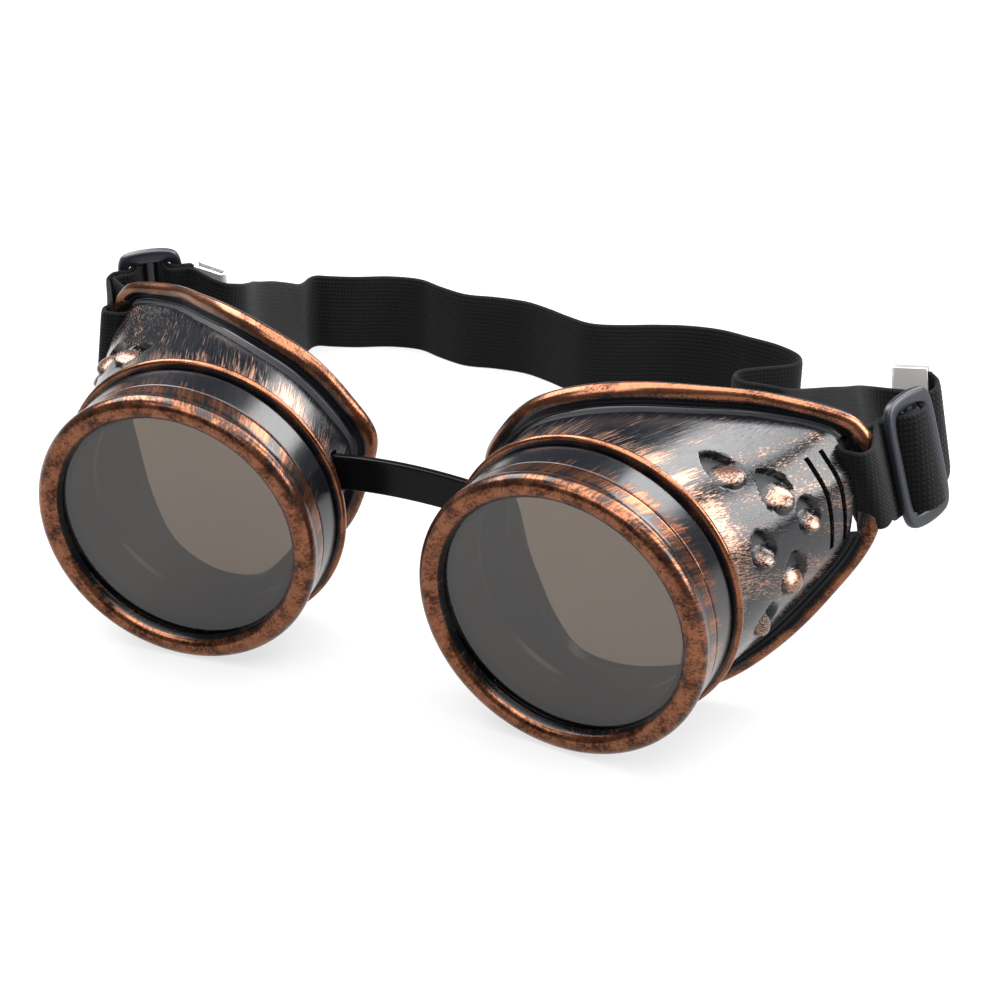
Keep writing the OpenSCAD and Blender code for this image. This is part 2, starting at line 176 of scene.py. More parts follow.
# Places that the band passes between buckle and tip, and along the upper edge of its back run.
TAIL = {-1: [(-77.2, 72.4, 44)],
        1: [(91.45, 72.4, 44), (91.2, 75, 44.8), (89.9, 76.1, 45.3)]}
BACK_ROUTE = [
    (-73.7, 67.6, 53.2), (-71.3, 67.2, 52.6), (-68.6, 66.9, 51.9), (-66.2, 67.5, 51.2),
    (-64.9, 69.6, 50.5), (-64.7, 72.8, 49.4), (-66.2, 77.2, 47.8), (-69, 83, 45.3),
    (-73, 91, 42), (-77, 99, 38.6), (-80.3, 108, 34.8), (-82.3, 118, 31),
    (-84, 128, 26.8), (-86, 138, 22.5), (-88.5, 146, 20),
    (-88, 150.5, 20), (-84, 152, 20), (-78, 154.3, 20), (-70, 158.5, 20),
    (-62, 160, 20), (-55, 157.5, 20), (-47, 155.5, 20), (-39, 157, 20),
    (-31, 157.5, 20), (-24, 155.5, 20), (-18, 153, 20), (-11, 151, 20),
    (-4, 153, 20), (4, 157, 20), (12, 160, 20), (20, 161, 20), (28, 159.5, 20),
    (35, 158, 20), (40.5, 155.2, 20), (42.9, 152.2, 20), (42.7, 149, 20),
    (40, 146, 20), (35, 142.3, 20), (31.5, 139, 20), (31.3, 135.6, 20),
    (34.5, 133.4, 20), (40, 133.6, 20), (45, 132.5, 20.5), (50.5, 124, 25),
    (55.5, 114.5, 30), (61, 105.5, 35), (66.3, 96, 40), (70.8, 87, 44.8),
    (73.8, 79, 48.6), (76.8, 74.3, 50.9), (80, 72.3, 52), (83, 72, 52.4),
    (85.2, 71.9, 52.5)]

# The stage: floor in millimetres, lights and camera in the frame. Each light has a place and
# two sizes in metres; its power is a setting of the same name.
FLOOR_HALF = 3000
FLOOR_Z = -0.05
LIGHTS = (("top_light", (0.06, -0.05, 0.72), (0.9, 0.9)),
          ("front_light", (0.0, -0.62, 0.62), (0.8, 0.22)),
          ("left_light", (-0.48, 0.12, 0.56), (0.5, 0.5)),
          ("right_light", (0.7, 0.15, 0.38), (0.4, 0.5)),
          ("back_light", (0.36, 0.66, 0.6), (0.42, 0.62)))
LIGHT_AIM = Vector((0.0, 0.0, 0.03))
CAMERA_AT = np.array([152.44, -302.6, 219.9])
CAMERA_AXES = (Vector((0.9211, 0.389, 0.0165)), Vector((-0.1928, 0.419, 0.8873)),
               Vector((0.3382, -0.8205, 0.4609)))
CAMERA_LENS = 74.85

# ---------------------------------------------------------------- plain geometry
def turn_matrix(turns):
    """Matrix of a turn about x, then y, then z, in degrees."""
    a, b, c = np.radians(turns)
    mx = np.array([[1, 0, 0], [0, np.cos(a), -np.sin(a)], [0, np.sin(a), np.cos(a)]])
    my = np.array([[np.cos(b), 0, np.sin(b)], [0, 1, 0], [-np.sin(b), 0, np.cos(b)]])
    mz = np.array([[np.cos(c), -np.sin(c), 0], [np.sin(c), np.cos(c), 0], [0, 0, 1]])
    return mz @ my @ mx


def unit(v):
    """Vectors divided by their lengths."""
    v = np.asarray(v, float)
    return v / np.linalg.norm(v, axis=-1, keepdims=True)


def lengths(points):
    """The length of a path up to each of its points."""
    sides = np.linalg.norm(np.diff(points, axis=0), axis=1)
    return np.concatenate([[0], np.cumsum(sides)])


def spline(points, steps, closed=False):
    """Smooth curve through points: each stretch is the cubic whose slopes at its ends are half
    the distance between the neighbours' points."""
    p = np.asarray(points, float)
    n = len(p)
    if closed:
        q = [np.roll(p, k, axis=0) for k in (1, 0, -1, -2)]
    else:
        e = np.concatenate([p[:1], p, p[-1:]])
        q = [e[k:k + n - 1] for k in range(4)]
    t = (np.arange(steps) / steps)[None, :, None]
    a, b, c, d = [x[:, None, :] for x in q]
    out = 0.5 * (2 * b + (c - a) * t + (2 * a - 5 * b + 4 * c - d) * t ** 2
                 + (3 * b - a - 3 * c + d) * t ** 3)
    out = out.reshape(-1, p.shape[1])
    return out if closed else np.concatenate([out, p[-1:]])


def stacked(*values):
    """Points on a grid from their coordinates, each spread over the whole grid."""
    return np.stack(np.broadcast_arrays(*values), -1)


def cup_place(side, local):
    """Points of a cup's own frame (to the temple, up, back from the bead) in the whole frame."""
    local = np.asarray(local, float)
    flat = np.stack([side * local[..., 0], local[..., 1], -local[..., 2]], -1)
    turned = flat @ turn_matrix((90 + PITCH, 0, -side * TOE)).T
    return turned + np.array([side * CUP_X, 0, CUP_Z]) - MID


def cup_dir(side, v):
    """A direction of a cup's own frame in the whole frame."""
    return cup_place(side, v) - cup_place(side, (0, 0, 0))


def buckle_dir(side, a, n, h):
    """A direction given along the band, outward and across, in the whole frame."""
    return turn_matrix(BUCKLE_POSE[side][1]) @ np.array([a, -side * n, h])


def buckle_point(side, a, n, h=0.0):
    """A point given along the band, outward and across a buckle, in the whole frame."""
    return np.array(BUCKLE_POSE[side][0]) + buckle_dir(side, a, n, h) - MID


def posed(points, pose):
    """Points moved to a pose, which is a place and turns about x, y and z."""
    return points @ turn_matrix(pose[1]).T + (np.array(pose[0]) - MID)


def mesh_object(name, points, faces, smooth_angle=40.0):
    """A mesh object of points in millimetres, with edges sharper than an angle kept sharp."""
    mesh = bpy.data.meshes.new(name)
    mesh.from_pydata((np.asarray(points) * 0.001).tolist(), [], faces)
    mesh.validate()
    mesh.polygons.foreach_set("use_smooth", np.ones(len(mesh.polygons), bool))
    mesh.set_sharp_from_angle(angle=math.radians(smooth_angle))
    mesh.update()
    obj = bpy.data.objects.new(name, mesh)
    bpy.context.scene.collection.objects.link(obj)
    return obj


def grid_faces(rows, cols, close_rows=False):
    """Four-cornered faces of a grid whose points are listed row by row, each row closed."""
    i = np.arange(rows if close_rows else rows - 1)[:, None]
    j = np.arange(cols)[None, :]
    a = i * cols + j
    b = i * cols + (j + 1) % cols
    c = ((i + 1) % rows) * cols + (j + 1) % cols
    d = ((i + 1) % rows) * cols + j
    return np.stack([a, b, c, d], -1).reshape(-1, 4).tolist()


def rounded(outline):
    """A closed outline with its corners cut in two passes: each puts two points on every side,
    a quarter of its length from both ends."""
    p = np.asarray(outline, float)
    for _ in range(2):
        q = np.roll(p, -1, axis=0)
        p = np.stack([p + (q - p) * 0.25, q - (q - p) * 0.25], 1).reshape(-1, 2)
    return p


def split_long(outline, longest):
    """A closed outline with extra points, so that no side is longer than a length."""
    p = np.asarray(outline, float)
    out = []
    for a, b in zip(p, np.roll(p, -1, axis=0)):
        n = max(1, int(np.ceil(np.linalg.norm(b - a) / longest)))
        out.append(a + (b - a) * (np.arange(n) / n)[:, None])
    return np.concatenate(out)


def paint_marks(obj, side, cover, draw, grip):
    """Stores how much copper a place has, how rough the strokes are there, and the place in the
    cup's own frame with its depth shortened, so that strokes come out long in that direction."""
    co = np.empty(len(obj.data.vertices) * 3)
    obj.data.vertices.foreach_get("co", co)
    whole = co.reshape(-1, 3) * 1000 + MID - np.array([side * CUP_X, 0, CUP_Z])
    local = whole @ turn_matrix((90 + PITCH, 0, -side * TOE))
    u, v, d = side * local[:, 0], local[:, 1], -local[:, 2]
    spin = d * STROKE_TWIST
    marks = np.stack([u * np.cos(spin) - v * np.sin(spin), u * np.sin(spin) + v * np.cos(spin),
                      d * draw], -1)
    attribute = obj.data.attributes.new("strokes", "FLOAT_VECTOR", "POINT")
    attribute.data.foreach_set("vector", marks.astype(np.float32).ravel())
    level = np.asarray(cover(u, v, d), np.float32)
    hold = np.where(level > LEAST_COVER, grip(u, v, d), 0.0)
    for name, value in (("cover", level), ("grip", hold)):
        attribute = obj.data.attributes.new(name, "FLOAT", "POINT")
        attribute.data.foreach_set("value", value.astype(np.float32))


def step(x, lo, hi):
    """0 below lo, 1 above hi, and a smooth rise between them."""
    t = np.clip((np.asarray(x, float) - lo) / (hi - lo), 0, 1)
    return t * t * (3 - 2 * t)


def bump(x, middle, half):
    """A smooth hill of height 1 round a middle, 0 beyond half its width."""
    return 1 - step(np.abs(np.asarray(x, float) - middle), 0, half)


def signed_volume(points, quads):
    """Volume inside a closed set of four-cornered faces, positive if they point outwards."""
    p = np.asarray(points, float)[np.asarray(quads)]
    one = np.einsum("ij,ij->i", p[:, 0], np.cross(p[:, 1], p[:, 2]))
    two = np.einsum("ij,ij->i", p[:, 0], np.cross(p[:, 2], p[:, 3]))
    return (one.sum() + two.sum()) / 6


def outward(points, quads):
    """The faces, turned round if they point inwards."""
    if signed_volume(points - points.mean(0), quads) < 0:
        return [q[::-1] for q in quads]
    return quads


def joined(name, parts, smooth_angle=40.0):
    """One object from a list of closed (points, quads) pairs."""
    points, faces, start = [], [], 0
    for p, q in parts:
        faces += (np.asarray(outward(p, q)) + start).tolist()
        points.append(p)
        start += len(p)
    return mesh_object(name, np.concatenate(points), faces, smooth_angle)


def revolved(side, outline, turns=256):
    """A closed outline of (radius, depth) pairs carried round a cup's axis."""
    a = np.linspace(0, 2 * np.pi, turns, endpoint=False)[:, None]
    r, d = outline.T
    local = stacked(r * np.cos(a), r * np.sin(a), d)
    return cup_place(side, local.reshape(-1, 3)), grid_faces(turns, len(outline), True)


def screw_ridge(side, root, top, depth, parts=96):
    """A ridge along a right-handed screw line: at the angle a its middle lies a full pitch
    further out for each turn. It fades into the wall over its first and last eighth turn."""
    a = np.linspace(0, 2 * np.pi * THREAD_TURNS, parts)
    rise = THREAD_PITCH * (a / (2 * np.pi) - THREAD_TURNS)
    fade = np.minimum(1, np.minimum(a, a[-1] - a) / (np.pi / 4) + 0.05)
    high = root + (top - root) * fade
    corners = ((root, -RIDGE_ROOT), (high, -RIDGE_TOP), (high, RIDGE_TOP), (root, RIDGE_ROOT))
    ring = np.stack([stacked(side * radius * np.cos(a), radius * np.sin(a), depth - rise - offset)
                     for radius, offset in corners], 1)
    last = 4 * (parts - 1)
    ends = [[3, 2, 1, 0], [last, last + 1, last + 2, last + 3]]
    return cup_place(side, ring.reshape(-1, 3)), grid_faces(parts, 4) + ends


# ---------------------------------------------------------------- cup shape
RIM_FINE = spline(RIM_LINE, 16, closed=True)
RIM_ANGLE = np.degrees(np.arctan2(RIM_FINE[:, 1], RIM_FINE[:, 0])) % 360
RIM_ORDER = np.argsort(RIM_ANGLE)
RIM_ANGLE = RIM_ANGLE[RIM_ORDER]
RIM_FINE = RIM_FINE[RIM_ORDER]


def rim_at(angle):
    """Radius and depth of the rim's edge at an angle round the axis, in degrees."""
    a = np.asarray(angle) % 360
    return (np.interp(a, RIM_ANGLE, np.hypot(RIM_FINE[:, 0], RIM_FINE[:, 1]), period=360),
            np.interp(a, RIM_ANGLE, RIM_FINE[:, 2], period=360))


def wall_radius(angle, depth):
    """Radius of the cup's outer wall: a straight flare from the flange to the rim."""
    radius, deep = rim_at(angle)
    f = (np.asarray(depth) - WALL_D) / (deep - RIM_DROP - WALL_D)
    return WALL_R + f * (radius - RIM_W - WALL_R)


def hollow_field(angle, depth):
    """How far a place lies inside an almond hollow, the height of the rounded boss in it, and the
    share of the hollow's depth there, which fades to nothing at the lower end.
    An almond is the space shared by two circles with its point up; its lower end is round."""
    inside = np.full(np.shape(angle), -9.0)
    boss, fall = np.zeros(np.shape(angle)), np.zeros(np.shape(angle))
    for a0, d0, size in HOLLOWS:
        r = wall_radius(a0, d0)
        gap = (np.asarray(angle) - a0 + 180) % 360 - 180
        y = np.radians(gap) * r / size - 0.4
        x = (np.asarray(depth) - d0) * 1.05 / size
        half = HOLLOW_W / 2
        q = ((HOLLOW_L / 2) ** 2 + half ** 2) / HOLLOW_W
        almond = q - np.maximum(np.hypot(x - q + half, y + HOLLOW_LOW),
                                np.hypot(x + q - half, y + HOLLOW_LOW))
        low = half - np.hypot(x, (y + HOLLOW_LOW) * 0.92)
        m = np.where(y > -HOLLOW_LOW, almond, low)
        fall = np.where(m * size > inside, step(y, -4.2, 0.6), fall)
        inside = np.maximum(inside, m * size)
        hill = BOSS_H * np.exp(-((x / 3.5) ** 2 + ((y + 2.2) / 3.0) ** 2) ** 1.5)
        boss = np.maximum(boss, np.where(m > 0, hill * step(m, 0, 1.1), 0))
    return inside, boss, fall


def cup_wall_part(side):
    """The cup's side: the section of wall and rolled rim at each angle, joined round the axis.
    The hollows press the outer wall in by their own depth and a boss rises in each."""
    low, high = HOLLOW_ARC
    angle = np.concatenate([np.arange(low, high, 0.5), np.arange(high, low + 360, 2.0)])
    radius, deep = rim_at(angle)
    edge = radius - RIM_W
    t = np.linspace(0, 1, 96)[:, None]
    d0 = WALL_D - 0.4
    end = deep - RIM_DROP
    depth = d0 + t * (end - d0)
    r_out = WALL_R + np.clip((depth - WALL_D) / (end - WALL_D), -0.05, 1) * (edge - WALL_R)
    inside, boss, fall = hollow_field(angle[None, :] + 0 * depth, depth)
    r_out = r_out - HOLLOW_DEPTH * fall * step(inside, -0.15, 0.5) + boss
    controls = [((edge, radius)[k] + out, deep + back) for k, out, back in RIM_PROFILE]
    flat = np.stack([np.concatenate(c) for c in controls])
    curve = spline(flat, 6)[1:]
    r_rim, d_rim = curve[:, :len(angle)], curve[:, len(angle):]
    s = (np.arange(1, 15) / 14)[:, None]
    r_last, d_last = controls[-1]
    d_in = d_last + s * (d0 - d_last)
    r_in = r_last + s * (WALL_R - CUP_WALL - r_last)
    r = np.concatenate([r_out, r_rim, r_in])
    d = np.concatenate([depth, d_rim, d_in])
    a = np.radians(angle)
    local = stacked(r * np.cos(a), r * np.sin(a), d)
    return cup_place(side, local.reshape(-1, 3)), grid_faces(len(r), len(angle), True)


def box_part(corner, size, place):
    """A box from its lowest corner and size, with each point moved by a function."""
    c = np.array([[x, y, z] for x in (0, 1) for y in (0, 1) for z in (0, 1)], float)
    quads = [[0, 1, 3, 2], [4, 6, 7, 5], [0, 4, 5, 1], [2, 3, 7, 6], [0, 2, 6, 4], [1, 5, 7, 3]]
    return place(np.asarray(corner) + c * np.asarray(size)), quads


def cup_cutters(side):
    """Boxes for the two narrow slots, the band slot with its recesses, and the bridge slot."""
    def plain(p):
        return cup_place(side, p)

    lean = turn_matrix((-SLOT_RAKE, 0, SLOT_LEAN))

    def leaning(p):
        q = p @ lean.T + np.array([SLOT_AT[0], SLOT_AT[1], -SLOT_AT[2]])
        return cup_place(side, q * np.array([1, 1, -1]))

    low = -SLOT_L / 2
    recess = (RECESS_L, SLOT_L, RECESS_H)
    vents = [box_part((*VENT_AT, d - VENT_W / 2), (*VENT_SIZE, VENT_W), plain)
             for d in VENT_DEPTHS]
    return vents + [
        box_part((-6, low, -SLOT_W / 2), (SLOT_CUT, SLOT_L, SLOT_W), leaning),
        box_part((-RECESS_L, low, -RECESS_H), recess, leaning),
        box_part((BAR_W, low, -RECESS_H), recess, leaning),
        box_part((side * 17 - 4.5, BRIDGE_Y - 1.2, BRIDGE_Z - 0.6 - 4.4), (9, 2.4, 8.8),
                 lambda p: p - MID)]


def discard(obj):
    """Removes a helper object with its mesh."""
    mesh = obj.data
    bpy.data.objects.remove(obj)
    bpy.data.meshes.remove(mesh)


def cut(obj, cutters):
    """Takes closed shapes out of an object and keeps the result as a plain mesh."""
    tools = []
    for i, (points, quads) in enumerate(cutters):
        tool = mesh_object(f"{obj.name}_cutter_{i}", points, outward(points, quads))
        modifier = obj.modifiers.new("cut", "BOOLEAN")
        modifier.operation = "DIFFERENCE"
        modifier.solver = "EXACT"
        modifier.object = tool
        tools.append(tool)
    bpy.context.view_layer.update()
    graph = bpy.context.evaluated_depsgraph_get()
    mesh = bpy.data.meshes.new_from_object(obj.evaluated_get(graph))
    obj.modifiers.clear()
    old = obj.data
    obj.data = mesh
    bpy.data.meshes.remove(old)
    for tool in tools:
        discard(tool)


def add_part(obj, part):
    """Adds one closed part to an object's mesh."""
    extra = mesh_object("part", part[0], outward(*part))
    bm = bmesh.new()
    bm.from_mesh(obj.data)
    bm.from_mesh(extra.data)
    bm.to_mesh(obj.data)
    bm.free()
    discard(extra)


def circle_points(r0, d0, radius, start, end, n):
    """Points of a circle in a plane of radius and depth, from one angle to another."""
    a = np.radians(np.linspace(start, end, n))
    return np.stack([r0 + radius * np.cos(a), d0 + radius * np.sin(a)], -1)


def cup_front_outline():
    """Outline of tube, flange and flange bead as (radius, depth)."""
    bead = circle_points(FLANGE_R, FLANGE_D + 0.9, FLANGE_BEAD, -75, 75, 15)
    path = np.concatenate([
        [[TUBE_IN, TUBE_D], [TUBE_R - 0.3, TUBE_D], [TUBE_R, TUBE_D + 0.3],
         [TUBE_R, FLANGE_D - 0.3], [TUBE_R + 0.3, FLANGE_D], [FLANGE_R - 0.6, FLANGE_D]], bead,
        [[FLANGE_R - 0.5, WALL_D], [WALL_R - 0.4, WALL_D + 0.2], [WALL_R - 1.0, WALL_D + 0.2],
         [TUBE_IN + 0.3, WALL_D], [TUBE_IN, WALL_D - 0.3]]])
    return rounded(split_long(path, 1.2))


def ring_outline():
    """Outline of the screw ring: lip, round bead, barrel with its fine groove, and bore."""
    bead = circle_points(BEAD_AT, 0, BEAD_R, 180, 360 + 36, 49)
    path = np.concatenate([
        [[LIP_R, LENS_D]], bead,
        [[SKIRT_R, 1.9], [SKIRT_R, GROOVE_D - 0.3], [SKIRT_R - 0.12, GROOVE_D - 0.14],
         [SKIRT_R - 0.4, GROOVE_D - 0.12], [SKIRT_R - 0.4, GROOVE_D + 0.12],
         [SKIRT_R - 0.1, GROOVE_D + 0.2],
         [SKIRT_R, RING_D - 0.35], [SKIRT_R - 0.35, RING_D], [BORE_R + 0.2, RING_D],
         [BORE_R, RING_D - 0.2], [BORE_R, GASKET_D + 0.5], [LENS_R + 0.25, GASKET_D + 0.1],
         [LENS_R + 0.25, LENS_D]]])
    return rounded(split_long(path, 0.9))


# ---------------------------------------------------------------- band shape
BAR_STEP = (BUCKLE_L - BUCKLE_BAR) / 2
LIFT = BUCKLE_T / 2 + 0.25 + BAND_T / 2
LOW = LIFT + BAND_T + 0.1
LOOP_END = BUCKLE_L / 2 + 0.6
WEAVE_IN = [(BAR_STEP + 0.4, -LOW), (4.8, 0.1 - LOW), (3.7, 0.55 - LOW), (2.9, 1.65 - LOW),
            (2.4, -0.2), (1.9, LIFT - 0.85), (1, LIFT - 0.1), (0, LIFT)]
WEAVE_OUT = [(BAR_STEP + 0.4, -LIFT), (BAR_STEP - 1, 0.1 - LIFT), (4.1, 0.85 - LIFT), (3.6, 0.2),
             (3.1, LOW - 1.65), (2.3, LOW - 0.55), (1.2, LOW - 0.1), (0, LOW)]
BEND_IN = {-1: [(-7.3, -LOW - 0.25), (-7.9, -LOW - 1.2)], 1: [(-BUCKLE_L / 2 - 1, -LOW)]}
BEND_OUT = {-1: [(-9.5, -LIFT - 3.2), (-9.3, -LIFT - 1.4), (-8.1, -LIFT - 0.2)],
            1: [(-BUCKLE_L / 2 - 1, 0.15 - LIFT)]}
ROUND_BAR = [(34.6, 57), (34.4, 55), (34.4, 52.7), (34.9, 51.2), (36.1, 50.4), (37.4, 50.3),
             (38.9, 50.3), (40, 50.8), (40.6, 52.2), (40.6, 54.6)]


def mirrored(weave):
    """The weave's second half: the first one turned about the middle bar."""
    return [(-a, n) for a, n in weave[-2::-1]]


def at_buckle(side, a, n):
    """A station of the band beside a buckle: middle, width direction and width."""
    return np.concatenate([buckle_point(side, a, n), buckle_dir(side, 0, 0, 1), [BAND_W]])


def at_bar(side, u, d):
    """A station of the band beside the bar of a cup."""
    w = np.array([-math.tan(math.radians(SLOT_LEAN)), 1, -math.tan(math.radians(SLOT_RAKE))])
    return np.concatenate([cup_place(side, (u, SLOT_AT[1], d)), cup_dir(side, unit(w)),
                           [BAND_W_CUP]])


def at_tip(side, a):
    """A station of the band inside a metal tip."""
    return np.concatenate([posed(np.array([a, 0, 0]), TIP_POSE[side]),
                           turn_matrix(TIP_POSE[side][1])[:, 2], [BAND_W]])


def loop_stations(side):
    """Stations of the band from the back run through the buckle, round the cup's bar, and back
    through the buckle to the tip, in three stretches: in, round, out."""
    def run(places, sign=1):
        return [at_buckle(side, sign * a, n) for a, n in places]

    first = run([(LOOP_END, -LOW)] + WEAVE_IN)
    middle = (run(mirrored(WEAVE_IN)) + run(BEND_IN[side])
              + [at_bar(side, u, d) for u, d in ROUND_BAR]
              + run(BEND_OUT[side]) + run(WEAVE_OUT, -1))
    last = run(mirrored(WEAVE_OUT), -1) + run([(LOOP_END, -LIFT)])
    lean = unit(buckle_dir(side, 0, 0, 1) + turn_matrix(TIP_POSE[side][1])[:, 2])
    last += [np.concatenate([np.array(p) - MID, lean, [BAND_W]]) for p in TAIL[side]]
    last += [at_tip(side, 0), at_tip(side, TIP_L - TIP_SHEET - 0.3)]
    return first, middle, last


def back_stations():
    """Stations of the back run: its upper edge is a smooth curve, and its width direction leans
    from upright, where it stands on the table, to each buckle's own direction."""
    def edge(side, a):
        return buckle_point(side, a, -LOW - (a - LOOP_END) / 4, BAND_W / 2)

    route = [edge(-1, LOOP_END + 0.05), edge(-1, LOOP_END + 0.7)]
    route += [np.array(p) - MID for p in BACK_ROUTE]
    route += [edge(1, LOOP_END + 0.7), edge(1, LOOP_END + 0.05)]
    top = spline(route, BACK_STEPS)
    top[:, 2] = np.maximum(top[:, 2], BAND_W)
    f = np.minimum(1, (top[:, 2] - BAND_W) / 30)[:, None]
    half = (np.arange(len(top)) < len(top) / 2)[:, None]
    goal = np.where(half, unit(buckle_dir(-1, 0, 0, 1)), unit(buckle_dir(1, 0, 0, 1)))
    lean = unit(f * goal + (1 - f) * np.array([0, 0, 1.0]))
    return np.concatenate([top - lean * BAND_W / 2, lean, np.full((len(top), 1), BAND_W)], 1)


def capped(rows_points):
    """Points and faces of a tube given as rows of closed outlines, with flat ends. An end joins
    each point of an outline's first half with its fellow of the second half."""
    rows, cols = rows_points.shape[:2]
    j = np.arange(cols // 2 - 1)
    end = np.stack([j, j + 1, cols - 2 - j, cols - 1 - j], -1)
    caps = np.concatenate([end[:, ::-1], end + (rows - 1) * cols])
    return rows_points.reshape(-1, 3), grid_faces(rows, cols) + caps.tolist()


def ribbon(name, stations, ribs, rib_height):
    """A woven elastic band through stations. Its section is a flat rounded strip whose two faces
    have lengthwise ribs, a cosine across the width; the section stands square to the run at each
    station. The UV map holds length and place across, in millimetres."""
    st = np.asarray(stations, float)
    centre, width_dir, width = st[:, :3], unit(st[:, 3:6]), st[:, 6]
    normal = unit(np.cross(unit(np.gradient(centre, axis=0)), width_dir))
    across = np.linspace(-0.5, 0.5, ribs * 4 + 1)
    rib = rib_height * 0.5 * (1 + np.cos(2 * np.pi * across * ribs)) - rib_height
    edge = np.sqrt(np.clip(1 - (np.abs(across) * 2) ** 14, 0, 1))
    face = np.maximum((BAND_T / 2 + rib) * edge, 0.12)
    ring_w = np.concatenate([across, across[::-1]])
    ring_n = np.concatenate([face, -face[::-1]])
    points = (centre[:, None, :]
              + width_dir[:, None, :] * (ring_w[None, :] * width[:, None])[..., None]
              + normal[:, None, :] * ring_n[None, :, None])
    flat, quads = capped(points)
    obj = mesh_object(name, flat, outward(flat, quads), 60)
    uv = stacked(lengths(centre)[:, None], ring_w * BAND_W).reshape(-1, 2)
    layer = obj.data.uv_layers.new(name="weave")
    corner = np.empty(len(obj.data.loops), int)
    obj.data.loops.foreach_get("vertex_index", corner)
    layer.data.foreach_set("uv", uv[corner].astype(np.float32).ravel())
    return obj


def squircle(half_a, half_b, n, power):
    """A closed outline between a circle and a rectangle: the cosine and sine of the angle are
    raised to a small power, with their signs kept."""
    t = 2 * np.pi * (np.arange(n) + 0.5) / n
    c, s = np.cos(t), np.sin(t)
    return np.stack([half_a * np.sign(c) * np.abs(c) ** power,
                     half_b * np.sign(s) * np.abs(s) ** power], -1)


def buckle_parts(side):
    """A three-bar buckle: a rounded frame whose outer edge is a bowed rectangle and whose inner
    edge is a plain one, both read along rays from the middle, and a rounded middle bar."""
    th = np.linspace(0, 2 * np.pi, 360, endpoint=False)
    c, s = np.abs(np.cos(th)), np.abs(np.sin(th))

    def frame_edge(half_a, half_b):
        power = BUCKLE_CORNER
        return ((c / half_a) ** power + (s / half_b) ** power) ** (-1 / power)

    high = np.full_like(th, BUCKLE_H / 2)
    for _ in range(6):
        outer = frame_edge(BUCKLE_L / 2, high) + BUCKLE_RIM
        high = BUCKLE_H / 2 - BUCKLE_BOW * (outer * c / (BUCKLE_L / 2)) ** 2
    inner = frame_edge(BUCKLE_L / 2 - BUCKLE_BAR, BAND_W / 2 + BUCKLE_PLAY)
    ring = squircle(1, BUCKLE_T / 2, 24, 0.55)
    middle, half = (outer + inner) / 2, (outer - inner) / 2
    r = middle[:, None] + half[:, None] * ring[:, 0]
    local = stacked(r * np.cos(th)[:, None], ring[:, 1], r * np.sin(th)[:, None])
    frame_part = (local.reshape(-1, 3), grid_faces(len(th), len(ring), True))
    bar = squircle(BUCKLE_BAR / 2, BUCKLE_T / 2 - 0.08, 24, 0.6)
    bar_part = capped(stacked(*bar.T, np.linspace(-10.6, 10.6, 12)[:, None]))
    return [(posed(p * np.array([1, -side, 1]), BUCKLE_POSE[side]), q)
            for p, q in (frame_part, bar_part)]


def tip_part(side):
    """A metal clip: a sheet folded to a U whose open lips turn out a little, carried across the
    band. The outer and inner lines of the fold have equal numbers of points."""
    h = (BAND_T + 2 * TIP_SHEET + 0.1) / 2
    arc = np.radians(np.linspace(-90, 90, 15))

    def line(r, nose):
        bend = np.stack([nose - r + r * np.cos(arc), r * np.sin(arc)], -1)
        run = np.linspace(0, nose - r, 9)[:-1]
        flare = 0.12 * np.exp(-(run / 0.9) ** 2)
        return np.concatenate([np.stack([run, -r - flare], -1), bend,
                               np.stack([run[::-1], r + flare[::-1]], -1)])

    section = np.concatenate([line(h, TIP_L), line(h - TIP_SHEET, TIP_L - TIP_SHEET)[::-1]])
    top = TIP_H / 2
    z = np.concatenate([[-top, -top + 0.12], np.linspace(-top + 0.5, top - 0.5, 20),
                        [top - 0.12, top]])
    p, q = capped(stacked(*section.T, z[:, None]))
    return posed(p, TIP_POSE[side]), q


def bridge_part():
    """The nose bridge: a thin upright strip whose middle line is a shallow arch, the square of
    the place along it, with a taller head inside each cup."""
    x = np.concatenate([np.linspace(-22, -19.2, 8), np.linspace(-18.9, 18.9, 60),
                        np.linspace(19.2, 22, 8)])
    half = np.where(np.abs(x) > 19, BRIDGE_HALF + 1.6, BRIDGE_HALF)
    arch = 1.2 * (1 - (x / 17) ** 2) - 0.6
    ring = squircle(0.9, 1, 40, 0.3)
    return capped(stacked(x[:, None], BRIDGE_Y + ring[:, 0],
                          BRIDGE_Z + arch[:, None] + half[:, None] * ring[:, 1]) - MID)


# ---------------------------------------------------------------- materials
NUMBER, VECTOR, COLOUR = "NodeSocketFloat", "NodeSocketVector", "NodeSocketColor"
# Pale pink-grey that the copper on the cup walls is mixed toward: partly a paler copper, partly a
# painted sheen standing for the grey reflection the strokes show.
PALE_STROKE_AND_SHEEN = (0.37, 0.235, 0.175, 1)
PAINT_EDGE = (0.36, 0.72)
TONE_EDGE = (0.34, 0.72)


def plug(tree, node, inputs):
    """Gives a node's inputs their values; each is a value, or another node's output to link."""
    for key, value in inputs.items():
        if isinstance(value, bpy.types.NodeSocket):
            tree.links.new(value, node.inputs[key])
        else:
            node.inputs[key].default_value = value


def new_node(tree, kind, inputs, **settings):
    """A node with its settings and inputs."""
    node = tree.nodes.new(kind)
    for key, value in settings.items():
        setattr(node, key, value)
    plug(tree, node, inputs)
    return node


def math_node(tree, operation, a, b=0.0, c=0.0):
    """The output of a math node."""
    return new_node(tree, "ShaderNodeMath", {0: a, 1: b, 2: c}, operation=operation).outputs[0]


def mix_colour(tree, factor, a, b):
    """The output of a colour mix."""
    return new_node(tree, "ShaderNodeMix", {0: factor, 6: a, 7: b}, data_type="RGBA").outputs[2]


def scaled(tree, colour, by):
    """A colour times a number."""
    return new_node(tree, "ShaderNodeVectorMath", {0: colour, "Scale": by},
                    operation="SCALE").outputs[0]


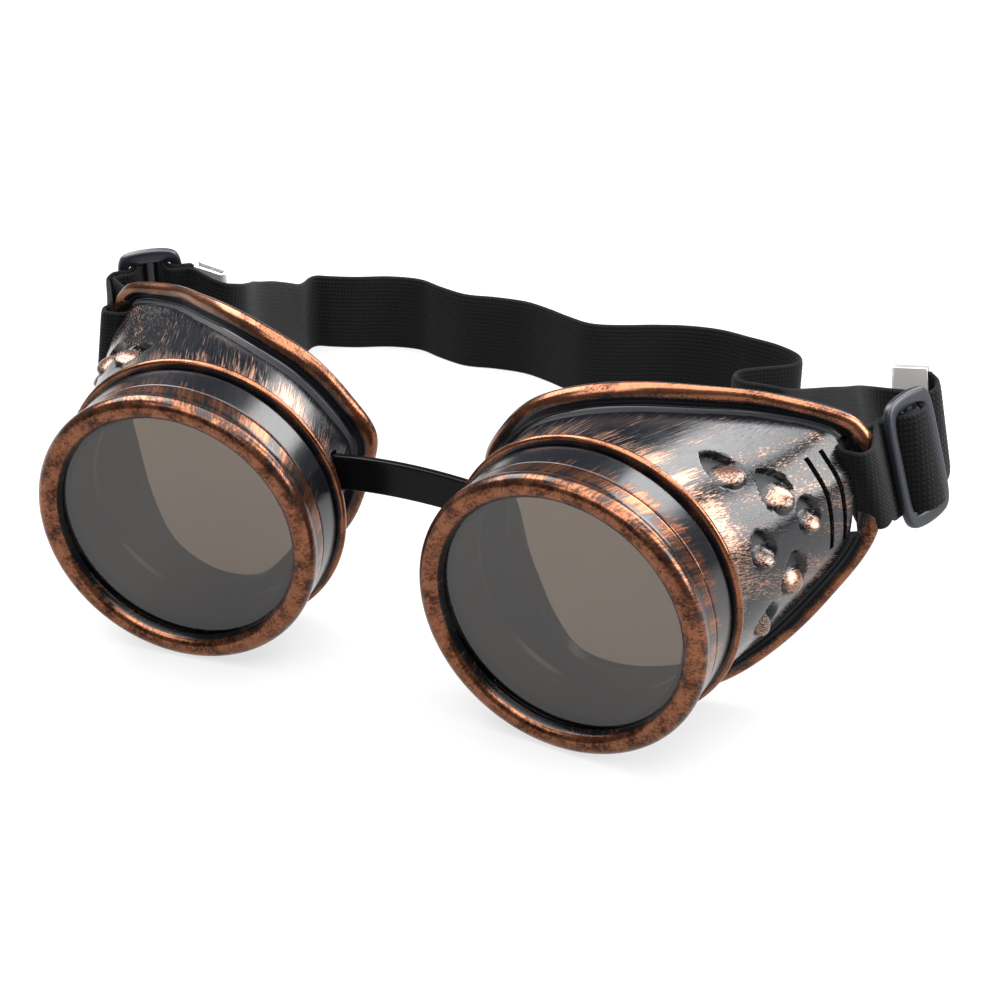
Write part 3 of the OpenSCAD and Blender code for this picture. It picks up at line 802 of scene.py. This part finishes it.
def ramp(tree, value, low, high, to_low=0.0, to_high=1.0, kind="SMOOTHSTEP"):
    """The output of a map range node."""
    return new_node(tree, "ShaderNodeMapRange", {0: value, 1: low, 2: high, 3: to_low, 4: to_high},
                    interpolation_type=kind).outputs[0]


def noise(tree, place, scale, detail, rough=0.5):
    """The output of a noise texture."""
    return new_node(tree, "ShaderNodeTexNoise", {"Vector": place, "Scale": scale,
                    "Detail": detail, "Roughness": rough}).outputs[0]


def bumped(tree, height, strength, distance):
    """The normal of a surface with a height, whose full depth is a distance in metres."""
    return new_node(tree, "ShaderNodeBump", {"Height": height, "Strength": strength,
                    "Distance": distance}).outputs[0]


def group_tree(name, inputs, outputs):
    """A new shader node group with named inputs and outputs: its tree, the inputs' values and
    its end node."""
    tree = bpy.data.node_groups.new(name, "ShaderNodeTree")
    for label, kind, value in inputs:
        socket = tree.interface.new_socket(label, in_out="INPUT", socket_type=kind)
        if value is not None:
            socket.default_value = value
    for label, kind in outputs:
        tree.interface.new_socket(label, in_out="OUTPUT", socket_type=kind)
    return tree, tree.nodes.new("NodeGroupInput").outputs, tree.nodes.new("NodeGroupOutput")


def dry_brush_group():
    """Copper paint dragged over dark plastic with a dry brush. Where the cover is high the paint
    is whole but for dark flecks, and where it is low only single bristle lines are left."""
    if "dry_brush" in bpy.data.node_groups:
        return bpy.data.node_groups["dry_brush"]
    tree, g, out = group_tree("dry_brush", [
        ("Cover", NUMBER, 0.5), ("Strokes", VECTOR, None), ("Bristle", NUMBER, 1.0),
        ("Fleck", NUMBER, 4.0), ("Patch", NUMBER, 0.12), ("Strength", NUMBER, 1.0),
        ("Grip", NUMBER, 0.5), ("Dark", COLOUR, (0.2, 0.06, 0.02, 1)),
        ("Light", COLOUR, (0.8, 0.4, 0.25, 1)), ("Ground", COLOUR, (0.01, 0.01, 0.013, 1))],
        [("Color", COLOUR), ("Metal", NUMBER), ("Rough", NUMBER), ("Height", NUMBER)])
    bristle = noise(tree, g["Strokes"], g["Bristle"], 4.0, 0.65)
    fleck = noise(tree, g["Strokes"], g["Fleck"], 3.0, 0.55)
    patch = noise(tree, g["Strokes"], g["Patch"], 2.0, 0.5)
    ragged = math_node(tree, "MULTIPLY_ADD", bristle, 2.2, -1.1)
    ragged = math_node(tree, "ADD", ragged, math_node(tree, "MULTIPLY_ADD", fleck, 0.5, -0.25))
    ragged = math_node(tree, "ADD", ragged, math_node(tree, "MULTIPLY_ADD", patch, 1.2, -0.6))
    total = math_node(tree, "MULTIPLY_ADD", ragged, g["Strength"], g["Cover"])
    mask = ramp(tree, total, *PAINT_EDGE)
    tone = math_node(tree, "ADD", math_node(tree, "MULTIPLY", patch, 0.5),
                     math_node(tree, "MULTIPLY", bristle, 0.5))
    tone = math_node(tree, "ADD", tone, math_node(tree, "MULTIPLY_ADD", total, 0.3, -0.2))
    copper = mix_colour(tree, ramp(tree, tone, *TONE_EDGE), g["Dark"], g["Light"])
    # Where the grip is high, on the cup walls, the copper is mixed half way toward the pale colour:
    # partly paler paint, partly a painted sheen.
    copper = mix_colour(tree, ramp(tree, g["Grip"], 0.5, 1.8, 0.0, 0.5), copper, PALE_STROKE_AND_SHEEN)
    streak = math_node(tree, "MULTIPLY_ADD", bristle, 0.5, -0.25)
    rough = math_node(tree, "ADD", ramp(tree, mask, 0.0, 1.0, 0.2, 0.22, "LINEAR"),
                      math_node(tree, "MULTIPLY", streak, g["Grip"]))
    relief = math_node(tree, "MAXIMUM", math_node(tree, "MULTIPLY", mask, 0.6), g["Grip"])
    plug(tree, out, {
        "Color": mix_colour(tree, mask, g["Ground"], copper),
        "Metal": math_node(tree, "MULTIPLY", mask, 0.9),
        "Rough": math_node(tree, "ADD", rough, ramp(tree, g["Grip"], 0.0, 0.3, 0.4, 0.0)),
        "Height": math_node(tree, "MULTIPLY", bristle, relief)})
    return tree


def grain_group():
    """Fine unevenness of a moulded, painted or plated surface, from two noises."""
    if "grain" in bpy.data.node_groups:
        return bpy.data.node_groups["grain"]
    tree, g, out = group_tree("grain", [
        ("Vector", VECTOR, None), ("Scale", NUMBER, 900.0), ("Colour", COLOUR, (0.1, 0.1, 0.1, 1)),
        ("Variation", NUMBER, 0.2), ("Rough", NUMBER, 0.4), ("Spread", NUMBER, 0.1)],
        [("Color", COLOUR), ("Rough", NUMBER), ("Height", NUMBER)])
    fine = noise(tree, g["Vector"], g["Scale"], 4.0, 0.6)
    wide = noise(tree, g["Vector"], math_node(tree, "MULTIPLY", g["Scale"], 0.07), 2.0)
    shift = math_node(tree, "MULTIPLY", math_node(tree, "MULTIPLY_ADD", wide, 2.0, -1.0),
                      g["Variation"])
    spread = math_node(tree, "MULTIPLY", math_node(tree, "MULTIPLY_ADD", fine, 2.0, -1.0),
                       g["Spread"])
    plug(tree, out, {"Color": scaled(tree, g["Colour"], math_node(tree, "ADD", shift, 1.0)),
                     "Rough": math_node(tree, "ADD", g["Rough"], spread), "Height": fine})
    return tree


def weave_group():
    """Woven elastic: lengthwise ribs, each wrapped by short slanted stitches that alternate from
    rib to rib. Works on a UV map in millimetres, length first."""
    if "elastic_weave" in bpy.data.node_groups:
        return bpy.data.node_groups["elastic_weave"]
    tree, g, out = group_tree("elastic_weave", [
        ("UV", VECTOR, None), ("Colour", COLOUR, (0.01, 0.01, 0.01, 1)), ("Ribs", NUMBER, 0.95),
        ("Stitch", NUMBER, 1.15)], [("Color", COLOUR), ("Height", NUMBER)])
    length, across, _ = new_node(tree, "ShaderNodeSeparateXYZ", {0: g["UV"]}).outputs
    rib_place = math_node(tree, "MULTIPLY", across, g["Ribs"])
    rib_number = math_node(tree, "FLOOR", math_node(tree, "ADD", rib_place, 0.5))
    odd = math_node(tree, "MULTIPLY", math_node(tree, "PINGPONG", rib_number, 1.0), math.pi)
    along = math_node(tree, "MULTIPLY", length,
                      math_node(tree, "MULTIPLY", g["Stitch"], 2 * math.pi))
    slant = math_node(tree, "MULTIPLY", rib_place, 2.2)
    wave = math_node(tree, "SINE", math_node(tree, "ADD", math_node(tree, "ADD", along, slant),
                                             odd))
    rib = math_node(tree, "COSINE", math_node(tree, "MULTIPLY", rib_place, 2 * math.pi))
    yarn = noise(tree, g["UV"], 7.0, 3.0)
    height = math_node(tree, "ADD", math_node(tree, "MULTIPLY", rib, 0.35),
                       math_node(tree, "MULTIPLY", wave, 0.4))
    height = math_node(tree, "ADD", height, math_node(tree, "MULTIPLY", yarn, 0.35))
    # The yarn's colour follows its height: painted shade where it lies low and a painted highlight
    # where it stands high.
    light = ramp(tree, height, -0.4, 0.9, 0.45, 1.5, "LINEAR")
    plug(tree, out, {"Color": scaled(tree, g["Colour"], light), "Height": height})
    return tree


def blank_material(name):
    """A new material with only a Principled shader and its output."""
    material = bpy.data.materials.new(name)
    material.use_nodes = True
    tree = material.node_tree
    tree.nodes.clear()
    shader = tree.nodes.new("ShaderNodeBsdfPrincipled")
    end = tree.nodes.new("ShaderNodeOutputMaterial")
    tree.links.new(shader.outputs[0], end.inputs[0])
    return material, tree, shader


def copper_material(looks, name, bristle, fleck, patch, strength):
    """Antique copper: the dry brush on the piece's own cover, strokes and grip attributes."""
    if name in bpy.data.materials:
        return bpy.data.materials[name]
    material, tree, shader = blank_material(name)
    cover, strokes, grip = (new_node(tree, "ShaderNodeAttribute", {}, attribute_name=key).outputs
                            for key in ("cover", "strokes", "grip"))
    brush = new_node(tree, "ShaderNodeGroup", {
        "Cover": cover["Fac"], "Strokes": strokes["Vector"], "Grip": grip["Fac"],
        "Bristle": bristle, "Fleck": fleck, "Patch": patch, "Strength": strength,
        "Dark": (*looks.copper_dark, 1), "Light": (*looks.copper_light, 1),
        "Ground": (*looks.ground, 1)}, node_tree=dry_brush_group()).outputs
    plug(tree, shader, {
        "Base Color": brush["Color"], "Metallic": brush["Metal"], "Roughness": brush["Rough"],
        "Normal": bumped(tree, brush["Height"], 0.28, 0.00005), "Specular IOR Level": 0.34})
    return material


def grain_material(name, colour, rough, scale, metallic=0.0, variation=0.2, spread=0.1,
                   strength=0.3, shine=0.3, glow=0.0):
    """A plain surface with fine unevenness on Object coordinates, which may glow white."""
    if name in bpy.data.materials:
        return bpy.data.materials[name]
    material, tree, shader = blank_material(name)
    grain = new_node(tree, "ShaderNodeGroup", {
        "Vector": tree.nodes.new("ShaderNodeTexCoord").outputs["Object"], "Scale": scale,
        "Colour": (*colour, 1), "Variation": variation, "Rough": rough, "Spread": spread},
        node_tree=grain_group()).outputs
    plug(tree, shader, {
        "Base Color": grain["Color"], "Roughness": grain["Rough"], "Metallic": metallic,
        "Normal": bumped(tree, grain["Height"], strength, 0.00003), "Specular IOR Level": shine,
        "Emission Color": (1, 1, 1, 1), "Emission Strength": glow})
    return material


def elastic_material(looks):
    """Matte black woven elastic."""
    if "elastic_band" in bpy.data.materials:
        return bpy.data.materials["elastic_band"]
    material, tree, shader = blank_material("elastic_band")
    uv = new_node(tree, "ShaderNodeUVMap", {}, uv_map="weave").outputs[0]
    weave = new_node(tree, "ShaderNodeGroup", {"UV": uv, "Colour": (*looks.band, 1)},
                     node_tree=weave_group()).outputs
    plug(tree, shader, {
        "Base Color": weave["Color"], "Normal": bumped(tree, weave["Height"], 0.6, 0.00018),
        "Roughness": 0.8, "Specular IOR Level": 0.12, "Sheen Weight": 0.03,
        "Sheen Roughness": 0.4})
    return material


def lens_material(looks):
    """Clear moulded plastic with a grey-brown tint and a faint unevenness."""
    if "tinted_lens" in bpy.data.materials:
        return bpy.data.materials["tinted_lens"]
    material, tree, shader = blank_material("tinted_lens")
    wave = noise(tree, tree.nodes.new("ShaderNodeTexCoord").outputs["Object"], 30.0, 2.0)
    darker, lighter = ((*[min(1, c * by) for c in looks.lens], 1) for by in (0.97, 1.03))
    plug(tree, shader, {
        "Base Color": mix_colour(tree, ramp(tree, wave, 0.3, 0.7), darker, lighter),
        "Normal": bumped(tree, wave, 0.05, 0.0001), "Roughness": 0.02, "IOR": 1.6,
        "Transmission Weight": 1.0})
    return material


def finish_piece(obj, material, body, slot, *nodes):
    """Gives a piece its material and body, and hides the CAD nodes it stands for. The record slot
    is not used.
    """
    obj.data.materials.clear()
    obj.data.materials.append(material)
    if body:
        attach(obj, body)
    if nodes:
        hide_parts(*nodes)


SIDES = ((-1, "left"), (1, "right"))


# ---------------------------------------------------------------- settings
class GoggleLooks(bpy.types.PropertyGroup):
    """Colours, sizes and light that a user would change."""

    copper_dark: bpy.props.FloatVectorProperty(
        name="Dark copper", description="Copper paint where it is thin", subtype="COLOR",
        default=(0.03, 0.011, 0.007), min=0, max=1)
    copper_light: bpy.props.FloatVectorProperty(
        name="Light copper", description="Copper paint where it is thick", subtype="COLOR",
        default=(0.215, 0.085, 0.044), min=0, max=1)
    ground: bpy.props.FloatVectorProperty(
        name="Ground", description="Dark plastic under the paint", subtype="COLOR",
        default=(0.003, 0.0035, 0.005), min=0, max=1)
    lens: bpy.props.FloatVectorProperty(
        name="Lens tint", description="Colour of the lens plastic", subtype="COLOR",
        default=(0.105, 0.08, 0.06), min=0, max=1)
    band: bpy.props.FloatVectorProperty(
        name="Band", description="Colour of the elastic yarn", subtype="COLOR",
        default=(0.0025, 0.0025, 0.003), min=0, max=1)
    buckle: bpy.props.FloatVectorProperty(
        name="Buckle", description="Paint of the slide buckles", subtype="COLOR",
        default=(0.011, 0.0125, 0.018), min=0, max=1)
    tip: bpy.props.FloatVectorProperty(
        name="Tip", description="Plating of the band tips", subtype="COLOR",
        default=(0.72, 0.71, 0.69), min=0, max=1)
    floor: bpy.props.FloatVectorProperty(
        name="Floor", description="Colour of the floor", subtype="COLOR",
        default=(0.13, 0.13, 0.13), min=0, max=1)
    ribs: bpy.props.IntProperty(
        name="Band ribs", description="Number of lengthwise ribs across the band", default=19,
        min=8, max=30)
    rib_height: bpy.props.FloatProperty(
        name="Rib height", description="Height of a rib of the band", default=0.00007,
        min=0.0, max=0.0002, unit="LENGTH", precision=5)
    paint: bpy.props.FloatProperty(
        name="Paint", description="How much copper paint the brush left", default=1.0,
        min=0.0, max=2.0, subtype="FACTOR")
    top_light: bpy.props.FloatProperty(
        name="Top light", description="Power of the wide soft light above", default=18.0,
        min=0, max=50, unit="POWER")
    front_light: bpy.props.FloatProperty(
        name="Front light", description="Power of the long soft light in front", default=3.0,
        min=0, max=50, unit="POWER")
    left_light: bpy.props.FloatProperty(
        name="Left light", description="Power of the soft light above on the left", default=9.0,
        min=0, max=50, unit="POWER")
    right_light: bpy.props.FloatProperty(
        name="Right light", description="Power of the tall soft light on the right", default=8.0,
        min=0, max=50, unit="POWER")
    back_light: bpy.props.FloatProperty(
        name="Back light", description="Power of the soft light behind", default=9.5,
        min=0, max=50, unit="POWER")
    floor_glow: bpy.props.FloatProperty(
        name="Floor glow", description="Light that the white floor gives by itself", default=0.7,
        min=0, max=2, subtype="FACTOR")
    surround: bpy.props.FloatProperty(
        name="Surround", description="Strength of the even light from all round", default=0.14,
        min=0, max=5, subtype="FACTOR")


def looks_of(context):
    """The scene's settings."""
    return context.scene.goggle_looks


# ---------------------------------------------------------------- operators
class GOGGLES_OT_stage(bpy.types.Operator):
    """Make the floor, the soft lights and the camera"""

    bl_idname = "goggles.stage"
    bl_label = "Stage"

    def execute(self, context):
        looks = looks_of(context)
        corners = [(FLOOR_HALF * x, FLOOR_HALF * y, FLOOR_Z)
                   for x, y in ((-1, -1), (1, -1), (1, 1), (-1, 1))]
        floor = mesh_object("floor", corners, [[0, 1, 2, 3]])
        floor.data.materials.append(grain_material(
            "pale_floor", looks.floor, 0.7, 30, variation=0.01, spread=0.02, strength=0.0,
            glow=looks.floor_glow))
        world = bpy.data.worlds.new("even_light")
        world.use_nodes = True
        background = world.node_tree.nodes["Background"]
        background.inputs[0].default_value = (1.0, 1.0, 1.0, 1)
        background.inputs[1].default_value = looks.surround
        context.scene.world = world
        for name, place, size in LIGHTS:
            lamp = bpy.data.lights.new(name, "AREA")
            lamp.shape = "RECTANGLE"
            lamp.size, lamp.size_y = size
            lamp.energy = getattr(looks, name)
            obj = bpy.data.objects.new(name, lamp)
            obj.location = place
            aim = LIGHT_AIM - Vector(place)
            obj.rotation_euler = aim.to_track_quat("-Z", "Y").to_euler()
            context.scene.collection.objects.link(obj)
        camera = bpy.data.objects.new("camera", bpy.data.cameras.new("camera"))
        camera.data.lens = CAMERA_LENS
        camera.data.sensor_width = 36.0
        camera.data.clip_start = 0.01
        turn = Matrix(CAMERA_AXES).transposed().to_4x4()
        spot = Vector((CAMERA_AT - MID) * 0.001)
        camera.matrix_world = Matrix.Translation(spot) @ turn
        context.scene.collection.objects.link(camera)
        context.scene.camera = camera
        context.scene.view_settings.view_transform = "Standard"
        return {"FINISHED"}


class GOGGLES_OT_cups(bpy.types.Operator):
    """Make both cups with their hollows, slots, flanges and rolled rims"""

    bl_idname = "goggles.cups"
    bl_label = "Cups"

    def execute(self, context):
        looks = looks_of(context)
        material = copper_material(looks, "brushed_cup", *CUP_BRUSH)

        def cover(u, v, d):
            a, r = np.degrees(np.arctan2(v, u)), np.hypot(u, v)
            radius, deep = rim_at(a)
            outside = r > wall_radius(a, d) - 1.25
            level = 0.12 + 0.34 * bump(d, 16, 7) * step(v, -5, 15)
            level = level + 0.15 * step(u, 8, 30) * (1 - 0.6 * step(v, 22, 30))
            level = level - 0.6 * bump(deep - 3.4 - d, 0, 2.4)
            rim = step(r, radius - 3.1, radius - 1.6) * step(d, deep - 3.0, deep - 1.6)
            level = level + (RIM_COVER - level) * rim
            inside, boss, _ = hollow_field(a, d)
            dip = step(inside, -0.2, 0.5)
            level = level * (1 - dip) + dip * (0.08 + 0.55 * step(boss, 0.3, 1.2))
            flange = (d < WALL_D - 0.05) & (d > FLANGE_D - 0.1)
            level = np.where(flange, 0.25 + 0.75 * step(r, FLANGE_R - 0.2, FLANGE_R + 0.3), level)
            level = np.where(outside | flange, level, BARE)
            level = np.where(d < FLANGE_D - 0.1, BARE_TUBE, level)
            return level * looks.paint

        def grip(u, v, d):
            radius, deep = rim_at(np.degrees(np.arctan2(v, u)))
            rim = step(np.hypot(u, v), radius - 3.6, radius - 2.6) * step(d, deep - 3.4, deep - 2.4)
            groove = bump(d, deep - 3.2, 2.0) * (np.hypot(u, v) < radius - 2.6)
            rough = np.maximum(1.8 - 1.45 * rim - 1.9 * groove, 0.1)
            return np.where(d < WALL_D + 0.4, np.minimum(rough, SMOOTH_GRIP), rough)

        for side, word in SIDES:
            obj = joined(f"{word}_cup_shell", [cup_wall_part(side)], CUP_SMOOTH)
            cut(obj, cup_cutters(side))
            add_part(obj, revolved(side, cup_front_outline(), 180))
            add_part(obj, screw_ridge(side, TUBE_R - 0.3, CREST_R, THREAD_D))
            obj.data.polygons.foreach_set("use_smooth", np.ones(len(obj.data.polygons), bool))
            obj.data.set_sharp_from_angle(angle=math.radians(CUP_SMOOTH))
            paint_marks(obj, side, cover, CUP_DRAW, grip)
            finish_piece(obj, material, f"{word}_cup", "cup", f"{word}_cup")
        return {"FINISHED"}


class GOGGLES_OT_rings(bpy.types.Operator):
    """Make both screw rings with bead, fine groove and thread"""

    bl_idname = "goggles.rings"
    bl_label = "Screw rings"

    def execute(self, context):
        looks = looks_of(context)
        material = copper_material(looks, "brushed_ring", *RING_BRUSH)

        def cover(u, v, d):
            a, r = np.degrees(np.arctan2(v, u)), np.hypot(u, v)
            top = bump((a - 40 + 180) % 360 - 180, 0, 75)
            level = np.where(d < 1.2, 0.88 - 0.25 * step(r, 27.2, 28.9), 0.64)
            level = level - 0.3 * bump(d, 1.9, 0.9) * step(r, 28, 28.4)
            # More copper just in front of the fine groove paints the light line along its front
            # edge: a painted highlight. The groove itself gets less copper.
            level = level + 0.25 * bump(d, GROOVE_D - 0.45, 0.4)
            level = level - 0.55 * bump(d, GROOVE_D, 0.22)
            behind = 0.32 + 0.3 * top - 0.55 * step(d, 6.3, 10.5)
            level = np.where(d > GROOVE_D + 0.2, behind, level)
            level = np.where((r < 25.2) & (d > -1.2), 0.3, level)
            level = np.where((r < BORE_R + 0.3) & (d > 2.4), BARE, level)
            return level * looks.paint

        def grip(u, v, d):
            return SMOOTH_GRIP + 0 * d

        for side, word in SIDES:
            obj = joined(f"{word}_ring_shell", [
                revolved(side, ring_outline()),
                screw_ridge(side, BORE_R + 0.3, TUBE_R + 0.4, THREAD_D + THREAD_PITCH / 2)],
                CUP_SMOOTH)
            paint_marks(obj, side, cover, RING_DRAW, grip)
            finish_piece(obj, material, f"{word}_ring", "screw_ring", f"{word}_screw_ring")
        return {"FINISHED"}


class GOGGLES_OT_lenses(bpy.types.Operator):
    """Finish the lenses and gaskets of the frame"""

    bl_idname = "goggles.lenses"
    bl_label = "Lenses and gaskets"

    def execute(self, context):
        looks = looks_of(context)
        glass = lens_material(looks)
        rubber = grain_material("gasket_rubber", RUBBER_BLACK, 0.6, 1500, strength=0.5)
        for _, word in SIDES:
            for node, material in ((f"{word}_lens", glass), (f"{word}_lens_gasket", rubber)):
                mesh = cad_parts[node].data
                mesh.materials.clear()
                mesh.materials.append(material)
        return {"FINISHED"}


class GOGGLES_OT_bridge(bpy.types.Operator):
    """Make the flexible nose bridge"""

    bl_idname = "goggles.bridge"
    bl_label = "Nose bridge"

    def execute(self, context):
        obj = joined("nose_bridge_strip", [bridge_part()], 50)
        material = grain_material("bridge_plastic", BRIDGE_BLACK, 0.2, 700, spread=0.05,
                                  shine=0.1)
        finish_piece(obj, material, None, "bridge", "nose_bridge")
        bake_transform(obj)
        return {"FINISHED"}


class GOGGLES_OT_band(bpy.types.Operator):
    """Make the elastic band: back run, loops round the cups' bars, tails and leads"""

    bl_idname = "goggles.band"
    bl_label = "Elastic band"

    def execute(self, context):
        looks = looks_of(context)
        material = elastic_material(looks)
        ribs, high = looks.ribs, looks.rib_height * 1000

        def strip(name, stations):
            return ribbon(name, stations, ribs, high)

        back = back_stations()
        far = lengths(back[:, :3])
        first = int(np.searchsorted(far, LEAD_L))
        last = int(np.searchsorted(far, far[-1] - LEAD_L))
        run = strip("band_back_run", back[first:last + 1])
        finish_piece(run, material, None, "band", "strap_back")
        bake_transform(run)
        for side, word in SIDES:
            a, b, c = loop_stations(side)
            fine = spline(np.array(a + b + c), LOOP_STEPS)
            i, j = (len(a) - 1) * LOOP_STEPS, (len(a) + len(b) - 1) * LOOP_STEPS
            cup, buckle = f"{word}_cup", f"{word}_buckle"
            lead_in = strip(f"{word}_band_weave", fine[:i + 1])
            finish_piece(lead_in, material, buckle, "band")
            loop = strip(f"{word}_band_loop", fine[i:j + 1])
            finish_piece(loop, material, None, "band", f"{word}_strap_loop")
            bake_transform(loop)
            tail = strip(f"{word}_band_tail", fine[j:])
            finish_piece(tail, material, None, "band")
            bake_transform(tail)
            part = back[:first + 1] if side < 0 else back[last:]
            lead = strip(f"{word}_band_lead", part)
            finish_piece(lead, material, None, "band")
            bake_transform(lead)
        return {"FINISHED"}


class GOGGLES_OT_buckles(bpy.types.Operator):
    """Make both slide buckles"""

    bl_idname = "goggles.buckles"
    bl_label = "Slide buckles"

    def execute(self, context):
        looks = looks_of(context)
        material = grain_material("buckle_paint", looks.buckle, 0.34, 1200, spread=0.08, shine=0.35)
        for side, word in SIDES:
            obj = joined(f"{word}_buckle_frame", buckle_parts(side), 50)
            finish_piece(obj, material, f"{word}_buckle", "buckle", f"{word}_slide_buckle")
        return {"FINISHED"}


class GOGGLES_OT_tips(bpy.types.Operator):
    """Make the folded metal tips of the band"""

    bl_idname = "goggles.tips"
    bl_label = "Band tips"

    def execute(self, context):
        looks = looks_of(context)
        material = grain_material("plated_sheet", looks.tip, 0.35, 1400, metallic=0.45, spread=0.1,
                                  variation=0.08)
        for side, word in SIDES:
            obj = joined(f"{word}_tip_clip", [tip_part(side)], 40)
            finish_piece(obj, material, f"{word}_cup", "tip", f"{word}_strap_tip")
        return {"FINISHED"}


OPERATORS = (GOGGLES_OT_stage, GOGGLES_OT_cups, GOGGLES_OT_rings, GOGGLES_OT_lenses,
             GOGGLES_OT_bridge, GOGGLES_OT_band, GOGGLES_OT_buckles, GOGGLES_OT_tips)


class GOGGLES_PT_build(bpy.types.Panel):
    """Buttons and settings of the goggles"""

    bl_idname = "GOGGLES_PT_build"
    bl_label = "Goggles"
    bl_space_type = "VIEW_3D"
    bl_region_type = "UI"
    bl_category = "Goggles"

    def draw(self, context):
        looks = looks_of(context)
        for name in GoggleLooks.__annotations__:
            self.layout.prop(looks, name)
        for operator in OPERATORS:
            self.layout.operator(operator.bl_idname)


CLASSES = (GoggleLooks, *OPERATORS, GOGGLES_PT_build)


def register():
    for item in CLASSES:
        bpy.utils.register_class(item)
    bpy.types.Scene.goggle_looks = bpy.props.PointerProperty(type=GoggleLooks)


def unregister():
    del bpy.types.Scene.goggle_looks
    for item in reversed(CLASSES):
        bpy.utils.unregister_class(item)


def main():
    register()
    for operator in OPERATORS:
        group, name = operator.bl_idname.split(".")
        getattr(getattr(bpy.ops, group), name)()


if __name__ == "__main__":
    main()
